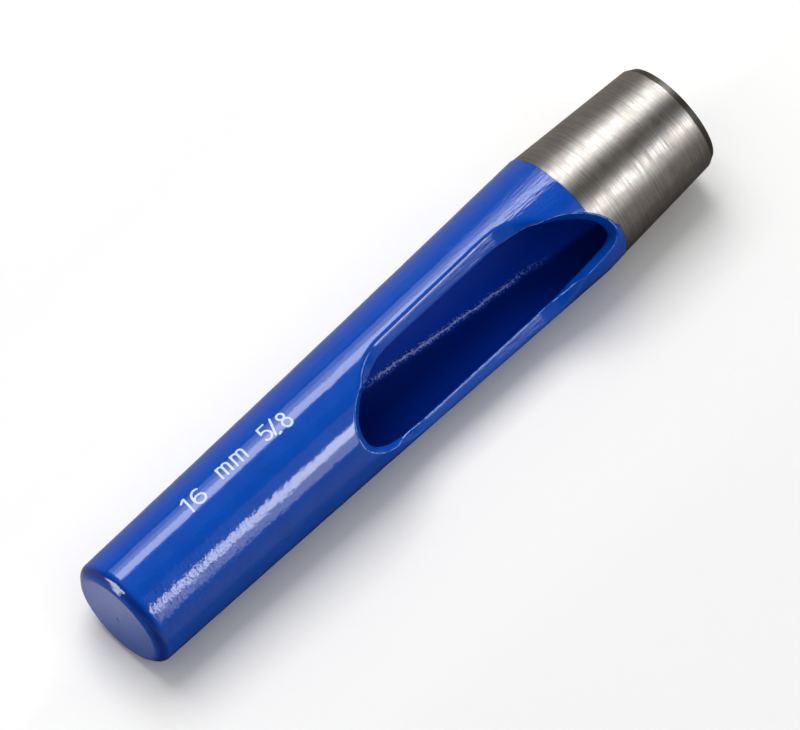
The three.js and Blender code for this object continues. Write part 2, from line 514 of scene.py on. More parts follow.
@dataclass
class ForgingSurface:
    """Lays a fine grid over the forging's middle: skin, window and bore."""

    shape: ForgingField = field(default_factory=ForgingField)
    patch_start: float = 0.036
    patch_end: float = 0.090
    straight_start: float = 0.050
    straight_end: float = 0.074
    bore_patch_start: float = 0.0391
    ring_back: float = 0.0372
    ring_front: float = 0.0887
    ring_degrees: float = 72.0
    fan_centre_right: float = 0.0012
    side_cells: int = 20
    straight_cells: int = 40
    end_cells: int = 60
    back_cells: int = 60
    chain_step: float = 0.00003
    chain_steps: int = 640
    chain_points: int = 58
    even_share: float = 0.45
    bend_spread: int = 7
    skin_rows: int = 6
    bore_rows: int = 6
    bore_margin: float = 0.0022
    tip_margin: float = 0.0009
    merge_distance: float = 0.0000008

    def border(self) -> tuple:
        """Goes once round the window along the patch's border.

        Returns:
            The x and the turn of each station.
        """
        side, end, straight = self.side_cells, self.end_cells, self.straight_cells
        x = np.concatenate([
            even_steps(self.straight_start, self.straight_end, straight),
            even_steps(self.straight_end, self.patch_end, side),
            np.full(end, self.patch_end),
            even_steps(self.patch_end, self.straight_end, side),
            even_steps(self.straight_end, self.straight_start, straight),
            even_steps(self.straight_start, self.patch_start, side),
            np.full(end, self.patch_start),
            even_steps(self.patch_start, self.straight_start, side),
        ])
        turn = np.concatenate([
            np.full(straight + side, QUARTER),
            even_steps(QUARTER, -QUARTER, end),
            np.full(side + straight + side, -QUARTER),
            even_steps(-QUARTER, QUARTER, end),
            np.full(side, QUARTER),
        ])
        return x, turn

    def ring(self) -> tuple:
        """Goes once round the window along a ring nearer to it.

        Returns:
            The x and the turn of each station, and how near it is to a tip, from 0 to 1.
        """
        straight = np.linspace(self.straight_start, self.straight_end, self.straight_cells + 1)
        level = np.zeros(self.straight_cells)
        fan = even_steps(QUARTER, -QUARTER, 2 * self.side_cells + self.end_cells)
        x = np.concatenate([
            straight[:-1],
            self.straight_end + (self.ring_front - self.straight_end) * np.cos(fan),
            straight[:0:-1],
            self.straight_start - (self.straight_start - self.ring_back) * np.cos(fan),
        ])
        sway = np.concatenate([level + 1, np.sin(fan), level - 1, -np.sin(fan)])
        nearness = np.concatenate([level, np.cos(fan), level, np.cos(fan)])
        return x, math.radians(self.ring_degrees) * sway, nearness

    def bore_place(self, x: Array) -> Array:
        """The x in the bore that goes with an x on the skin, closer in behind the window."""
        bore_part = self.straight_start - self.bore_patch_start
        squeeze = bore_part / (self.straight_start - self.patch_start)
        return x + (squeeze - 1) * np.minimum(x - self.straight_start, 0.0)

    def on_skin(self, x: Array, turn: Array) -> Array:
        """Places on the outer surface, from their x and their turn round the axis."""
        return around(x, self.shape.form.radius(x, turn), turn)

    def on_bore(self, x: Array, turn: Array) -> Array:
        """Places on the coated bore's wall, from their x and their turn round the axis."""
        return around(x, self.shape.form.coated_bore(x, turn), turn)

    def traced_chains(self, start: Array, inward: Array) -> Array:
        """Follows the surface from the ring over the window's edges and into the bore.

        Args:
            start: A place on the skin for each station.
            inward: The level direction for each station in which its chain sets out.

        Returns:
            Places by step and station.
        """
        upward = np.zeros_like(inward)
        upward[:, 2] = 1.0
        place = start.copy()
        trail = [place]
        for _ in range(self.chain_steps):
            rise, lift = self.shape.slope(place, inward, upward)
            size = np.hypot(rise, lift)
            ahead = (lift / size)[:, None] * inward - (rise / size)[:, None] * upward
            place = place + self.chain_step * ahead
            rise, lift = self.shape.slope(place, inward, upward)
            pull = (self.shape.value(place) / (rise**2 + lift**2))[:, None]
            place = place - pull * (rise[:, None] * inward + lift[:, None] * upward)
            trail.append(place)
        return np.stack(trail)

    def spaced_chain(self, trail: Array, margin: float) -> Array:
        """Picks points along one chain, closer together where it turns.

        Args:
            trail: The chain's places, step by step.
            margin: How far it goes on along the bore.

        Returns:
            The picked places.
        """
        arrived = int(np.argmax(self.shape.at_bore(trail)))
        stop = min(arrived + int(margin / self.chain_step), len(trail) - 1)
        trail = trail[: stop + 1]
        pace = np.diff(trail, axis=0)
        length = np.linalg.norm(pace, axis=1)
        heading = pace / length[:, None]
        bend = np.zeros(len(length))
        bend[1:] = np.arccos(np.clip(np.sum(heading[1:] * heading[:-1], axis=1), -1, 1))
        bend = np.convolve(bend, np.ones(self.bend_spread) / self.bend_spread, mode="same")
        even = self.even_share * length / length.sum()
        need = even + (1 - self.even_share) * bend / bend.sum()
        reached = np.concatenate([[0.0], np.cumsum(need)])
        wanted = np.linspace(0.0, reached[-1], self.chain_points)
        columns = [np.interp(wanted, reached, trail[:, axis]) for axis in range(3)]
        return np.stack(columns, axis=-1)

    def window_patch(self) -> Array:
        """The skin round the window, its edges and walls, and the bore round its way in.

        Returns:
            Points by row, from the skin to the bore, and by station, closed on itself.
        """
        border_x, border_turn = self.border()
        ring_x, ring_turn, nearness = self.ring()
        start = self.on_skin(ring_x, ring_turn)
        inward = np.zeros_like(start)
        inward[:, 0] = np.clip(ring_x, self.straight_start, self.straight_end) - ring_x
        inward[:, 1] = -self.fan_centre_right * nearness - start[:, 1]
        inward /= np.linalg.norm(inward, axis=1)[:, None]
        trails = self.traced_chains(start, inward)
        margins = self.bore_margin + nearness * (self.tip_margin - self.bore_margin)
        chains = [self.spaced_chain(trails[:, i], margins[i]) for i in range(len(ring_x))]
        chains = np.stack(chains, axis=1)
        last = chains[-1]
        _, last_turn = polar(last)
        outer = even_steps(0.0, 1.0, self.skin_rows)[:, None]
        outer_rows = self.on_skin(
            border_x + outer * (ring_x - border_x),
            border_turn + outer * (ring_turn - border_turn),
        )
        inner = np.linspace(0.0, 1.0, self.bore_rows + 1)[1:, None]
        inner_rows = self.on_bore(
            last[:, 0] + inner * (self.bore_place(border_x) - last[:, 0]),
            last_turn + inner * (border_turn - last_turn),
        )
        rows = np.concatenate([outer_rows, chains, inner_rows])
        return np.concatenate([rows, rows[:, :1]], axis=1)

    def full_turn(self) -> Array:
        """The turns of all the lengthwise lines, once round the axis."""
        back = np.linspace(QUARTER, 3 * QUARTER, self.back_cells + 1)
        return np.concatenate([even_steps(-QUARTER, QUARTER, self.end_cells), back])

    def far_side(self) -> tuple:
        """The skin and the bore on the side away from the window.

        Returns:
            Two grids of points.
        """
        x = np.concatenate([
            even_steps(self.patch_start, self.straight_start, self.side_cells),
            even_steps(self.straight_start, self.straight_end, self.straight_cells),
            np.linspace(self.straight_end, self.patch_end, self.side_cells + 1),
        ])[:, None]
        turn = np.linspace(QUARTER, 3 * QUARTER, self.back_cells + 1)[None, :]
        return self.on_skin(x, turn), self.on_bore(self.bore_place(x), turn)


@dataclass
class StrikingEnd:
    """The striking face with its turning marks, its chamfer and the first part of the shank."""

    form: TurnedForm = field(default_factory=TurnedForm)
    centre_mark_radius: float = 0.00055
    centre_mark_depth: float = 0.00012
    centre_mark_points: int = 7
    face_step: float = 0.0002
    face_margin: float = 0.0005
    face_rounding: float = 0.0004
    chamfer_shares: tuple = (0.35, 0.5)
    shoulder_rounding: float = 0.0007
    shoulder_reach: float = 0.004
    turning_pitch: float = 0.0007
    turning_depth: float = 0.000004
    row_length: float = 0.0005

    def face(self) -> list:
        """The profile from the middle of the face to the start of the shank.

        Returns:
            Points as radius and x.
        """
        form = self.form
        mark_shares = np.linspace(0.0, 1.0, self.centre_mark_points)
        depth = self.centre_mark_depth
        points = [(s * self.centre_mark_radius, depth * (1 - ease(s))) for s in mark_shares]
        start = self.centre_mark_radius + self.face_step
        for radius in np.arange(start, form.face_radius - self.face_margin, self.face_step):
            wave = math.sin(2 * math.pi * radius / self.turning_pitch)
            points.append((radius, self.turning_depth * (1 - wave)))
        corner = (form.face_radius, 0.0)
        shoulder = (form.shank_radius, form.chamfer_end)
        beyond = (float(form.shank(np.array(self.shoulder_reach))), self.shoulder_reach)
        points += rounded((0.0, 0.0), corner, shoulder, self.face_rounding)
        points += between(corner, shoulder, self.chamfer_shares)
        return points + rounded(corner, shoulder, beyond, self.shoulder_rounding)

    def grid(self, end: float, turns: Array) -> Array:
        """The turned surface.

        Args:
            end: Where along the shank it stops.
            turns: Angles round the axis.

        Returns:
            Points by row and turn.
        """
        rows = [around(x, radius, turns) for radius, x in self.face()]
        start = self.form.chamfer_end + self.shoulder_rounding
        count = int((end - start) / self.row_length)
        for x in np.linspace(start, end, count + 1)[1:]:
            rows.append(around(x, self.form.radius(x, turns), turns))
        return np.stack(rows)


@dataclass
class CuttingEnd:
    """The ground head's far part, its bevel and cutting edge, and the bare part of the bore."""

    form: TurnedForm = field(default_factory=TurnedForm)
    row_length: float = 0.0006
    head_reach: float = 0.104
    bevel_rounding: float = 0.00016
    bevel_shares: tuple = (0.3, 0.5, 0.7, 0.9)
    edge_rounding: float = 0.00002
    bore_reach: float = 0.1
    edge_inset: float = 0.0003
    coat_end: float = 0.091
    coat_end_wander: float = 0.0004
    coat_end_waves: tuple = (Wave(0.625, 0.0, 3, 0.8), Wave(0.375, 0.0, 7, 2.1))
    coat_step_shares: tuple = (0.0, 0.35, 0.7, 1.0)
    coat_step_slant: float = 0.9
    joining_shares: tuple = (0.4, 1.0)
    bore_rows: int = 20

    def coat_line(self, turns: Array) -> Array:
        """Where the enamel inside the bore stops, an uneven line."""
        return self.coat_end + self.coat_end_wander * rippled(self.coat_end_waves, 0.0, turns)

    def turned(self) -> list:
        """The profile over the bevel and the cutting edge, as radius and x.

        Returns:
            Its points.
        """
        form = self.form
        bevel = (form.bevel_radius, form.bevel_start)
        edge = (form.edge_radius, form.length)
        lip = (form.bore_radius, form.length)
        before = (float(form.head(np.array(self.head_reach))), self.head_reach)
        points = rounded(before, bevel, edge, self.bevel_rounding)[1:]
        points += between(bevel, edge, self.bevel_shares)
        points += rounded(bevel, edge, lip, self.edge_rounding)
        return points + rounded(edge, lip, (form.bore_radius, self.bore_reach), self.edge_rounding)

    def grid(self, start: float, turns: Array) -> Array:
        """The turned surface, from the head over the edge and down the bore.

        Args:
            start: The x on the head and in the bore where it joins the rest.
            turns: Angles round the axis.

        Returns:
            Points by row and turn.
        """
        form = self.form
        head_end = form.bevel_start - self.bevel_rounding
        count = int((head_end - start) / self.row_length)
        rows = [(x, form.radius(x, turns)) for x in np.linspace(start, head_end, count + 1)]
        rows += [(x, radius) for radius, x in self.turned()]
        line = self.coat_line(turns)
        first = form.length - self.edge_inset
        for share in np.linspace(0.0, 1.0, self.bore_rows):
            along = first + share * (line + form.coat_thickness - first)
            rows.append((along, form.bore_radius))
        for share in self.coat_step_shares:
            sunk = self.coat_step_slant * form.coat_thickness * (1 - share)
            inner = form.bore_radius - form.coat_thickness * math.sin(share * QUARTER)
            rows.append((line + sunk, inner))
        for share in self.joining_shares:
            along = line + share * (start - line)
            rows.append((along, form.coated_bore(along, turns)))
        return np.stack([around(x, radius, turns) for x, radius in rows])


@dataclass
class DrillPoint:
    """The closed end of the bore, with the cone that the drill left."""

    form: TurnedForm = field(default_factory=TurnedForm)
    shoulder: float = 0.0386
    degrees: float = 118.0
    rows: int = 12

    def grid(self, start: float, turns: Array) -> Array:
        """The turned surface from the bore's wall to the point of the cone.

        Args:
            start: The x in the bore where it joins the rest.
            turns: Angles round the axis.

        Returns:
            Points by row and turn.
        """
        radius = self.form.bore_radius - self.form.coat_thickness
        depth = radius / tangent(self.degrees / 2)
        rows = [around(start, radius, turns)]
        for share in np.linspace(0.0, 1.0, self.rows):
            rows.append(around(self.shoulder - share * depth, radius * (1 - share), turns))
        return np.stack(rows)


@dataclass(frozen=True)
class Stroke:
    """A straight stroke of a pen, with its corners as shares of the sign's height."""

    corner_shares: tuple

    def path(self) -> Array:
        """The corners, each [across, up]."""
        return np.array(self.corner_shares, dtype=float)


@dataclass(frozen=True)
class Bow:
    """A curved stroke, part of an ellipse, with its sizes as shares of the sign's height."""

    centre_shares: tuple
    half_shares: tuple
    start_degrees: float = 0.0
    end_degrees: float = 360.0
    steps: int = 28

    def path(self) -> Array:
        """Points along the curve, each [across, up].

        Returns:
            The points.
        """
        turn = np.radians(np.linspace(self.start_degrees, self.end_degrees, self.steps + 1))
        ring = np.stack([np.cos(turn), np.sin(turn)], axis=-1)
        return np.array(self.centre_shares) + ring * np.array(self.half_shares)


@dataclass(frozen=True)
class Glyph:
    """One sign of the size mark, how tall it is and where its lower left corner stands."""

    left: float
    up: float
    height: float
    strokes: tuple


ONE = (Stroke(((0.05, 0.93), (0.30, 1.10), (0.37, 1.10), (0.195, 0.02))),)
SIX = (
    Bow((0.40, 0.33), (0.33, 0.27)),
    Bow((0.50, 0.42), (0.43, 0.58), 185.0, 64.0),
)
LETTER_M = (
    Stroke(((0.20, 1.0), (0.05, 0.0))),
    Bow((0.41, 0.70), (0.25, 0.28), 180.0, 0.0),
    Stroke(((0.66, 0.70), (0.55, 0.0))),
    Bow((0.90, 0.70), (0.24, 0.28), 180.0, 0.0),
    Stroke(((1.14, 0.70), (1.04, 0.0))),
)
FIVE = (
    Stroke(((0.47, 0.94), (0.08, 0.94), (0.016, 0.54))),
    Bow((0.17, 0.33), (0.25, 0.27), 128.0, -140.0),
)
SLASH = (Stroke(((-0.24, 0.0), (0.27, 1.08))),)
EIGHT = (
    Bow((0.34, 0.74), (0.18, 0.20)),
    Bow((0.35, 0.26), (0.23, 0.25)),
)
SPOT = (Stroke(((0.0, 0.0), (0.12, 0.03))),)


@dataclass(frozen=True)
class SizeMark:
    """The bore's size printed on the shank, 16 mm and five eighths of an inch."""

    form: TurnedForm = field(default_factory=TurnedForm)
    pen_half: float = 0.000165
    baseline_degrees: float = 56.0
    cell: float = 0.00006
    raised: float = 0.000012
    sunk: float = 0.000012
    glyphs: tuple = (
        Glyph(0.01525, -0.00002, 0.00240, ONE),
        Glyph(0.01671, -0.00002, 0.00256, SIX),
        Glyph(0.02184, 0.00066, 0.00188, LETTER_M),
        Glyph(0.02453, 0.00058, 0.00194, LETTER_M),
        Glyph(0.03002, 0.00005, 0.00290, FIVE),
        Glyph(0.03195, 0.00012, 0.00237, SLASH),
        Glyph(0.03278, -0.00040, 0.00285, EIGHT),
        Glyph(0.03188, -0.00021, 0.00237, SPOT),
    )

    def segments(self) -> tuple:
        """All strokes cut into straight pieces.

        Returns:
            The starts and the ends of the pieces.
        """
        starts, ends = [], []
        for glyph in self.glyphs:
            for stroke in glyph.strokes:
                path = stroke.path() * glyph.height + np.array([glyph.left, glyph.up])
                starts.append(path[:-1])
                ends.append(path[1:])
        return np.concatenate(starts), np.concatenate(ends)

    def nearest(self, points: Array) -> Array:
        """The nearest place on any stroke for each point of the print.

        Args:
            points: Places in the unrolled print, each [along, up].

        Returns:
            The nearest places.
        """
        best = np.full(len(points), np.inf)
        found = np.zeros_like(points)
        for start, end in zip(*self.segments()):
            span = end - start
            share = np.clip((points - start) @ span / (span @ span), 0.0, 1.0)
            foot = start + share[:, None] * span
            away = np.linalg.norm(points - foot, axis=1)
            nearer = away < best
            best[nearer] = away[nearer]
            found[nearer] = foot[nearer]
        return found

    def stencil(self) -> tuple:
        """Cuts the print out of a grid of small cells, with its border moved onto the outline.

        Returns:
            The unrolled points and the cells that are inked, as lists of four indices.
        """
        starts, ends = self.segments()
        low = np.minimum(starts, ends).min(axis=0) - 2 * self.pen_half
        high = np.maximum(starts, ends).max(axis=0) + 2 * self.pen_half
        columns, rows = (np.ceil((high - low) / self.cell)).astype(int) + 1
        along = low[0] + self.cell * np.arange(columns)
        up = low[1] + self.cell * np.arange(rows)
        points = np.stack(np.meshgrid(along, up, indexing="ij"), axis=-1).reshape(-1, 2)
        index = np.arange(columns * rows).reshape(columns, rows)
        corners = [index[:-1, :-1], index[1:, :-1], index[1:, 1:], index[:-1, 1:]]
        cells = np.stack(corners, axis=-1).reshape(-1, 4)
        centres = points[cells].mean(axis=1)
        inked = np.linalg.norm(centres - self.nearest(centres), axis=1) < self.pen_half
        used, cells = np.unique(cells[inked], return_inverse=True)
        cells = cells.reshape(-1, 4)
        points = points[used]
        border = np.bincount(cells.ravel(), minlength=len(points)) < 4
        foot = self.nearest(points[border])
        out = points[border] - foot
        out /= np.linalg.norm(out, axis=1)[:, None]
        points[border] = foot + self.pen_half * out
        return points, cells

    def wrapped(self, points: Array, height: float) -> Array:
        """Rolls the print round the shank, in the window's frame.

        Args:
            points: Places in the unrolled print.
            height: How far over the skin they go.

        Returns:
            Places in space.
        """
        along = points[:, 0]
        turn = math.radians(self.baseline_degrees) + points[:, 1] / self.form.shank(along)
        return around(along, self.form.radius(along, turn) + height, turn)

    def mesh(self) -> tuple:
        """The print as a thin closed relief.

        Returns:
            Its points in the window's frame and its faces.
        """
        points, cells = self.stencil()
        top = cells[:, ::-1].tolist()
        under = (cells + len(points)).tolist()
        sheets = [self.wrapped(points, self.raised), self.wrapped(points, -self.sunk)]
        return np.concatenate(sheets), top + under + closing_walls(top, len(points))


@dataclass(frozen=True)
class PartedSkin:
    """The whole outer surface, cut along the line between steel and enamel."""

    points: Array
    normals: Array
    bare: Array
    faces: list


@dataclass
class Forging:
    """The whole outer surface, and how it parts into steel and enamel."""

    surface: ForgingSurface = field(default_factory=ForgingSurface)
    striking_end: StrikingEnd = field(default_factory=StrikingEnd)
    cutting_end: CuttingEnd = field(default_factory=CuttingEnd)
    drill_point: DrillPoint = field(default_factory=DrillPoint)
    window_lean_degrees: float = 48.0
    rim_depth: float = 0.000012
    rim_gain: float = 150.0
    level_floor: float = 1e-7
    # The pale rim along the window's edges: partly rubbed enamel, partly a painted highlight.
    rim_wear_and_highlight_width: float = 0.00013
    rim_wear_and_highlight_start: float = 0.03
    rim_wear_and_highlight_end: float = 0.09
    tip_right: float = -0.002
    tip_start: float = 0.0785
    tip_wear_and_highlight_share: float = 0.35
    tip_line_set_on: float = 0.00305
    tip_line_start: float = math.radians(-12)
    tip_line_end: float = math.radians(14)
    tip_line_fall: float = math.radians(70)
    tip_line_fade: float = math.radians(80)
    line_wander: float = 0.00002
    line_waves: tuple = (Wave(1.0, 0.0, 11, 0.0), Wave(0.75, 0.0, 23, 1.0))
    head_clearance: float = 0.0002
    head_step_end: float = 0.0905
    bore_coat_start: float = 0.088
    sharp_degrees: float = 50.0
    film: float = 0.00013
    seat: float = 0.00015

    def woven(self) -> bmesh.types.BMesh:
        """Weaves the whole surface, in the window's frame.

        Returns:
            The closed surface.
        """
        turns = self.surface.full_turn()
        weave = Weave()
        weave.add(self.striking_end.grid(self.surface.patch_start, turns))
        weave.add(self.surface.window_patch())
        for grid in self.surface.far_side():
            weave.add(grid)
        weave.add(self.cutting_end.grid(self.surface.patch_end, turns))
        weave.add(self.drill_point.grid(self.surface.bore_patch_start, turns))
        return weave.sewn(self.surface.merge_distance)

    def paint_line(self, turn: Array) -> Array:
        """Where the grinding stopped, further on round the window's tip and beside it.

        Args:
            turn: Angles round the axis from the window's middle, in radians.

        Returns:
            Places along the tool.
        """
        right = -turn
        rise = ease((right - self.tip_line_start) / (self.tip_line_end - self.tip_line_start))
        fall = 1 - ease((right - self.tip_line_fall) / self.tip_line_fade)
        wander = self.line_wander * rippled(self.line_waves, 0.0, turn)
        return self.surface.shape.form.paint_line + self.tip_line_set_on * rise * fall + wander

    def bare(self, points: Array) -> Array:
        """A field that is positive where the steel is bare and negative under the enamel.

        Args:
            points: Places on the surface, in the window's frame.

        Returns:
            The field there.
        """
        _, turn = polar(points)
        ground = points[:, 0] - self.paint_line(turn)
        near_skin = self.rim_gain * (self.surface.shape.skin(points) + self.rim_depth)
        inner_end = points[:, 0] - self.cutting_end.coat_line(turn)
        inner_end[np.abs(inner_end) < self.level_floor] = 0.0
        return np.maximum(np.minimum(ground, near_skin), inner_end)

    def parted(self) -> PartedSkin:
        """Cuts the woven surface along the line between steel and enamel.

        Returns:
            The cut surface.
        """
        woven = self.woven()
        woven.verts.ensure_lookup_table()
        levels = self.bare(np.array([vertex.co for vertex in woven.verts]))
        store = woven.verts.layers.float.new("bare")
        for vertex, level in zip(woven.verts, levels):
            vertex[store] = level
        fresh = []
        for edge in list(woven.edges):
            start, end = edge.verts
            if start[store] * end[store] < 0:
                share = start[store] / (start[store] - end[store])
                _, middle = bmesh.utils.edge_split(edge, start, share)
                middle[store] = 0.0
                fresh.append(middle)
        bmesh.ops.connect_verts(woven, verts=fresh, check_degenerate=False)
        woven.normal_update()
        woven.verts.index_update()
        skin = PartedSkin(
            points=np.array([vertex.co for vertex in woven.verts]),
            normals=np.array([vertex.normal for vertex in woven.verts]),
            bare=np.array([vertex[store] for vertex in woven.verts]),
            faces=[[vertex.index for vertex in face.verts] for face in woven.faces],
        )
        woven.free()
        return skin

    def piece(self, name: str, points: Array, faces: list) -> bpy.types.Object:
        """Makes an object of a closed mesh and turns it from the window's frame into place.

        Args:
            name: The piece's name.
            points: Its points in the window's frame.
            faces: Its faces, as lists of indices.

        Returns:
            The new object.
        """
        mesh = bpy.data.meshes.new(name)
        mesh.from_pydata(points.tolist(), [], faces)
        mesh.validate()
        mesh.transform(Matrix.Rotation(math.radians(self.window_lean_degrees), 4, "X"))
        mesh.polygons.foreach_set("use_smooth", [True] * len(mesh.polygons))
        mesh.set_sharp_from_angle(angle=math.radians(self.sharp_degrees))
        mesh.update()
        return in_scene(name, mesh)

    def mark(self, piece: bpy.types.Object, name: str, values: Array) -> None:
        """Stores a value on each of a piece's points for its finish to read."""
        store = piece.data.attributes.new(name, "FLOAT", "POINT")
        store.data.foreach_set("value", values)

    def rim_wear_and_highlight(self, points: Array) -> Array:
        """How much the enamel is rubbed near the window's edges, where a painted highlight also runs
        along them.

        Args:
            points: Places on the surface, in the window's frame.

        Returns:
            The share of rubbed enamel and painted highlight, from 0 to 1.
        """
        x, left = points[:, 0], points[:, 1]
        near_edge = np.clip(1 - self.surface.shape.edge_gap(points) / self.rim_wear_and_highlight_width, 0.0, 1.0)
        at_window = (x > self.rim_wear_and_highlight_start) & (x < self.rim_wear_and_highlight_end)
        beside_tip = (left < self.tip_right) & (x > self.tip_start)
        return near_edge * at_window * np.where(beside_tip, self.tip_wear_and_highlight_share, 1.0)

    def enamel(self, skin: PartedSkin) -> bpy.types.Object:
        """Makes the enamel, a closed film between the outer surface and the steel.

        Args:
            skin: The cut surface.

        Returns:
            The film.
        """
        coated = [face for face in skin.faces if skin.bare[face].sum() < 0]
        used = np.unique(np.concatenate([np.array(face) for face in coated]))
        count = len(used)
        place = np.full(len(skin.points), -1)
        place[used] = np.arange(count)
        outer = [[int(place[i]) for i in face] for face in coated]
        inner = [[i + count for i in reversed(face)] for face in outer]
        under = skin.points[used] - self.film * skin.normals[used]
        points = np.concatenate([skin.points[used], under])
        film = self.piece("enamel_film", points, outer + inner + closing_walls(outer, count))
        # painted highlight: the pale rim along the window's edges, partly rubbed enamel
        rim_wear_and_highlight = self.rim_wear_and_highlight(skin.points[used])
        self.mark(film, "edge_wear_and_highlight", np.concatenate([rim_wear_and_highlight, rim_wear_and_highlight]))
        return film

    def steel(self, skin: PartedSkin) -> bpy.types.Object:
        """Makes the steel, a closed solid that shows at the head and in the end of the bore.

        Args:
            skin: The cut surface.

        Returns:
            The solid.
        """
        form = self.surface.shape.form
        x = skin.points[:, 0]
        radial, _ = polar(skin.points)
        on_head = (radial > form.bore_radius + self.head_clearance) & (x < self.head_step_end)
        bare_depth = np.where(on_head, form.paint_step(x), 0.0)
        in_bore = (radial < form.bore_radius) & (x > self.bore_coat_start)
        bare_depth = np.where(in_bore, form.bore_radius - radial, bare_depth)
        depth = np.where(skin.bare < 0, self.seat, bare_depth)[:, None]
        steel = self.piece("steel_forging", skin.points - depth * skin.normals, skin.faces)
        self.mark(steel, "bare_level", skin.bare)
        return steel


@dataclass(frozen=True)
class Marks:
    """Small marks in a surface: how many in a metre, how fine and deep, and which way they lie."""

    scale: float
    detail: float = 2.0
    rough: float = 0.5
    depth: float = 0.0
    stretch: tuple = (1.0, 1.0, 1.0)
    turn_degrees: tuple = (0.0, 0.0, 0.0)


class Nodes:
    """Adds and links the nodes of one node tree."""

    MIX_FIRST = 6
    MIX_SECOND = 7
    MIX_RESULT = 2

    def __init__(self, tree: bpy.types.NodeTree) -> None:
        """Keeps the tree."""
        self.tree = tree

    def add(self, kind: str, **settings: object) -> bpy.types.Node:
        """Adds a node.

        Args:
            kind: The node's type name in Blender.
            **settings: Properties of the node to set.

        Returns:
            The node.
        """
        node = self.tree.nodes.new(kind)
        for name, value in settings.items():
            setattr(node, name, value)
        return node

    def feed(self, target: Socket, value: object) -> None:
        """Links a socket to an input, or sets the input to a plain value.

        Args:
            target: The input.
            value: A socket, a number or a colour.
        """
        if isinstance(value, Socket):
            self.tree.links.new(value, target)
        else:
            target.default_value = value

    def fill(self, node: bpy.types.Node, values: dict) -> None:
        """Feeds several inputs of a node, by their names."""
        for label, value in values.items():
            self.feed(node.inputs[label], value)

    def math(self, operation: str, *values: object, clamp: bool = False) -> Socket:
        """Adds a Math node.

        Args:
            operation: Its operation.
            *values: Its inputs, as sockets or numbers.
            clamp: Whether the result is held between 0 and 1.

        Returns:
            Its output.
        """
        node = self.add("ShaderNodeMath", operation=operation, use_clamp=clamp)
        for target, value in zip(node.inputs, values):
            self.feed(target, value)
        return node.outputs[0]

    def times(self, first: Socket, *others: object) -> Socket:
        """The product of two or more values.

        Args:
            first: The first of them.
            *others: The others, as sockets or numbers.

        Returns:
            The product.
        """
        for other in others:
            first = self.math("MULTIPLY", first, other)
        return first

    def layered(self, colour: object, *layers: tuple) -> Socket:
        """Lays colours over each other.

        Args:
            colour: The lowest colour.
            *layers: For each colour above it a mask and the colour.

        Returns:
            The mixed colour.
        """
        for share, above in layers:
            node = self.add("ShaderNodeMix", data_type="RGBA")
            self.feed(node.inputs["Factor"], share)
            self.feed(node.inputs[self.MIX_FIRST], colour)
            self.feed(node.inputs[self.MIX_SECOND], above)
            colour = node.outputs[self.MIX_RESULT]
        return colour

    def remap(self, value: Socket, low: float, high: float, to_low: float = 0.0,
              to_high: float = 1.0) -> Socket:
        """Maps a range to another and holds the result inside it.

        Args:
            value: The socket to map.
            low: Where the first range starts.
            high: Where it ends.
            to_low: Where the second range starts.
            to_high: Where it ends.

        Returns:
            The mapped value.
        """
        node = self.add("ShaderNodeMapRange")
        for target, item in zip(node.inputs, (value, low, high, to_low, to_high)):
            self.feed(target, item)
        return node.outputs[0]

    def place(self, scale: tuple = (1.0, 1.0, 1.0), turn: tuple = (0.0, 0.0, 0.0)) -> Socket:
        """The place on the object, stretched and turned.

        Args:
            scale: How much each axis is stretched.
            turn: The turn about each axis, in degrees.

        Returns:
            The place as a vector.
        """
        coordinates = self.add("ShaderNodeTexCoord")
        mapping = self.add("ShaderNodeMapping")
        rotation = [math.radians(angle) for angle in turn]
        vector = coordinates.outputs["Object"]
        self.fill(mapping, {"Vector": vector, "Scale": scale, "Rotation": rotation})
        return mapping.outputs[0]

    def axes(self) -> tuple:
        """The place on the object along each axis.

        Returns:
            Its X, Y and Z.
        """
        node = self.add("ShaderNodeSeparateXYZ")
        self.feed(node.inputs[0], self.place())
        return tuple(node.outputs)

    def noise(self, marks: Marks, scale: object = None) -> Socket:
        """A noise texture's value.

        Args:
            marks: How it lies and how fine it is.
            scale: A socket for its scale, if that isn't the marks' own.

        Returns:
            The value.
        """
        node = self.add("ShaderNodeTexNoise")
        self.fill(node, {
            "Vector": self.place(marks.stretch, marks.turn_degrees),
            "Scale": marks.scale if scale is None else scale,
            "Detail": marks.detail,
            "Roughness": marks.rough,
        })
        return node.outputs["Fac"]

    def bumps(self, *layers: tuple) -> Socket:
        """Bumps over each other.

        Args:
            *layers: For each bump a height from 0 to 1, and a full step's height in metres.

        Returns:
            The normal.
        """
        normal = None
        for height, distance in layers:
            node = self.add("ShaderNodeBump")
            self.fill(node, {"Height": height, "Distance": distance})
            if normal is not None:
                self.feed(node.inputs["Normal"], normal)
            normal = node.outputs[0]
        return normal


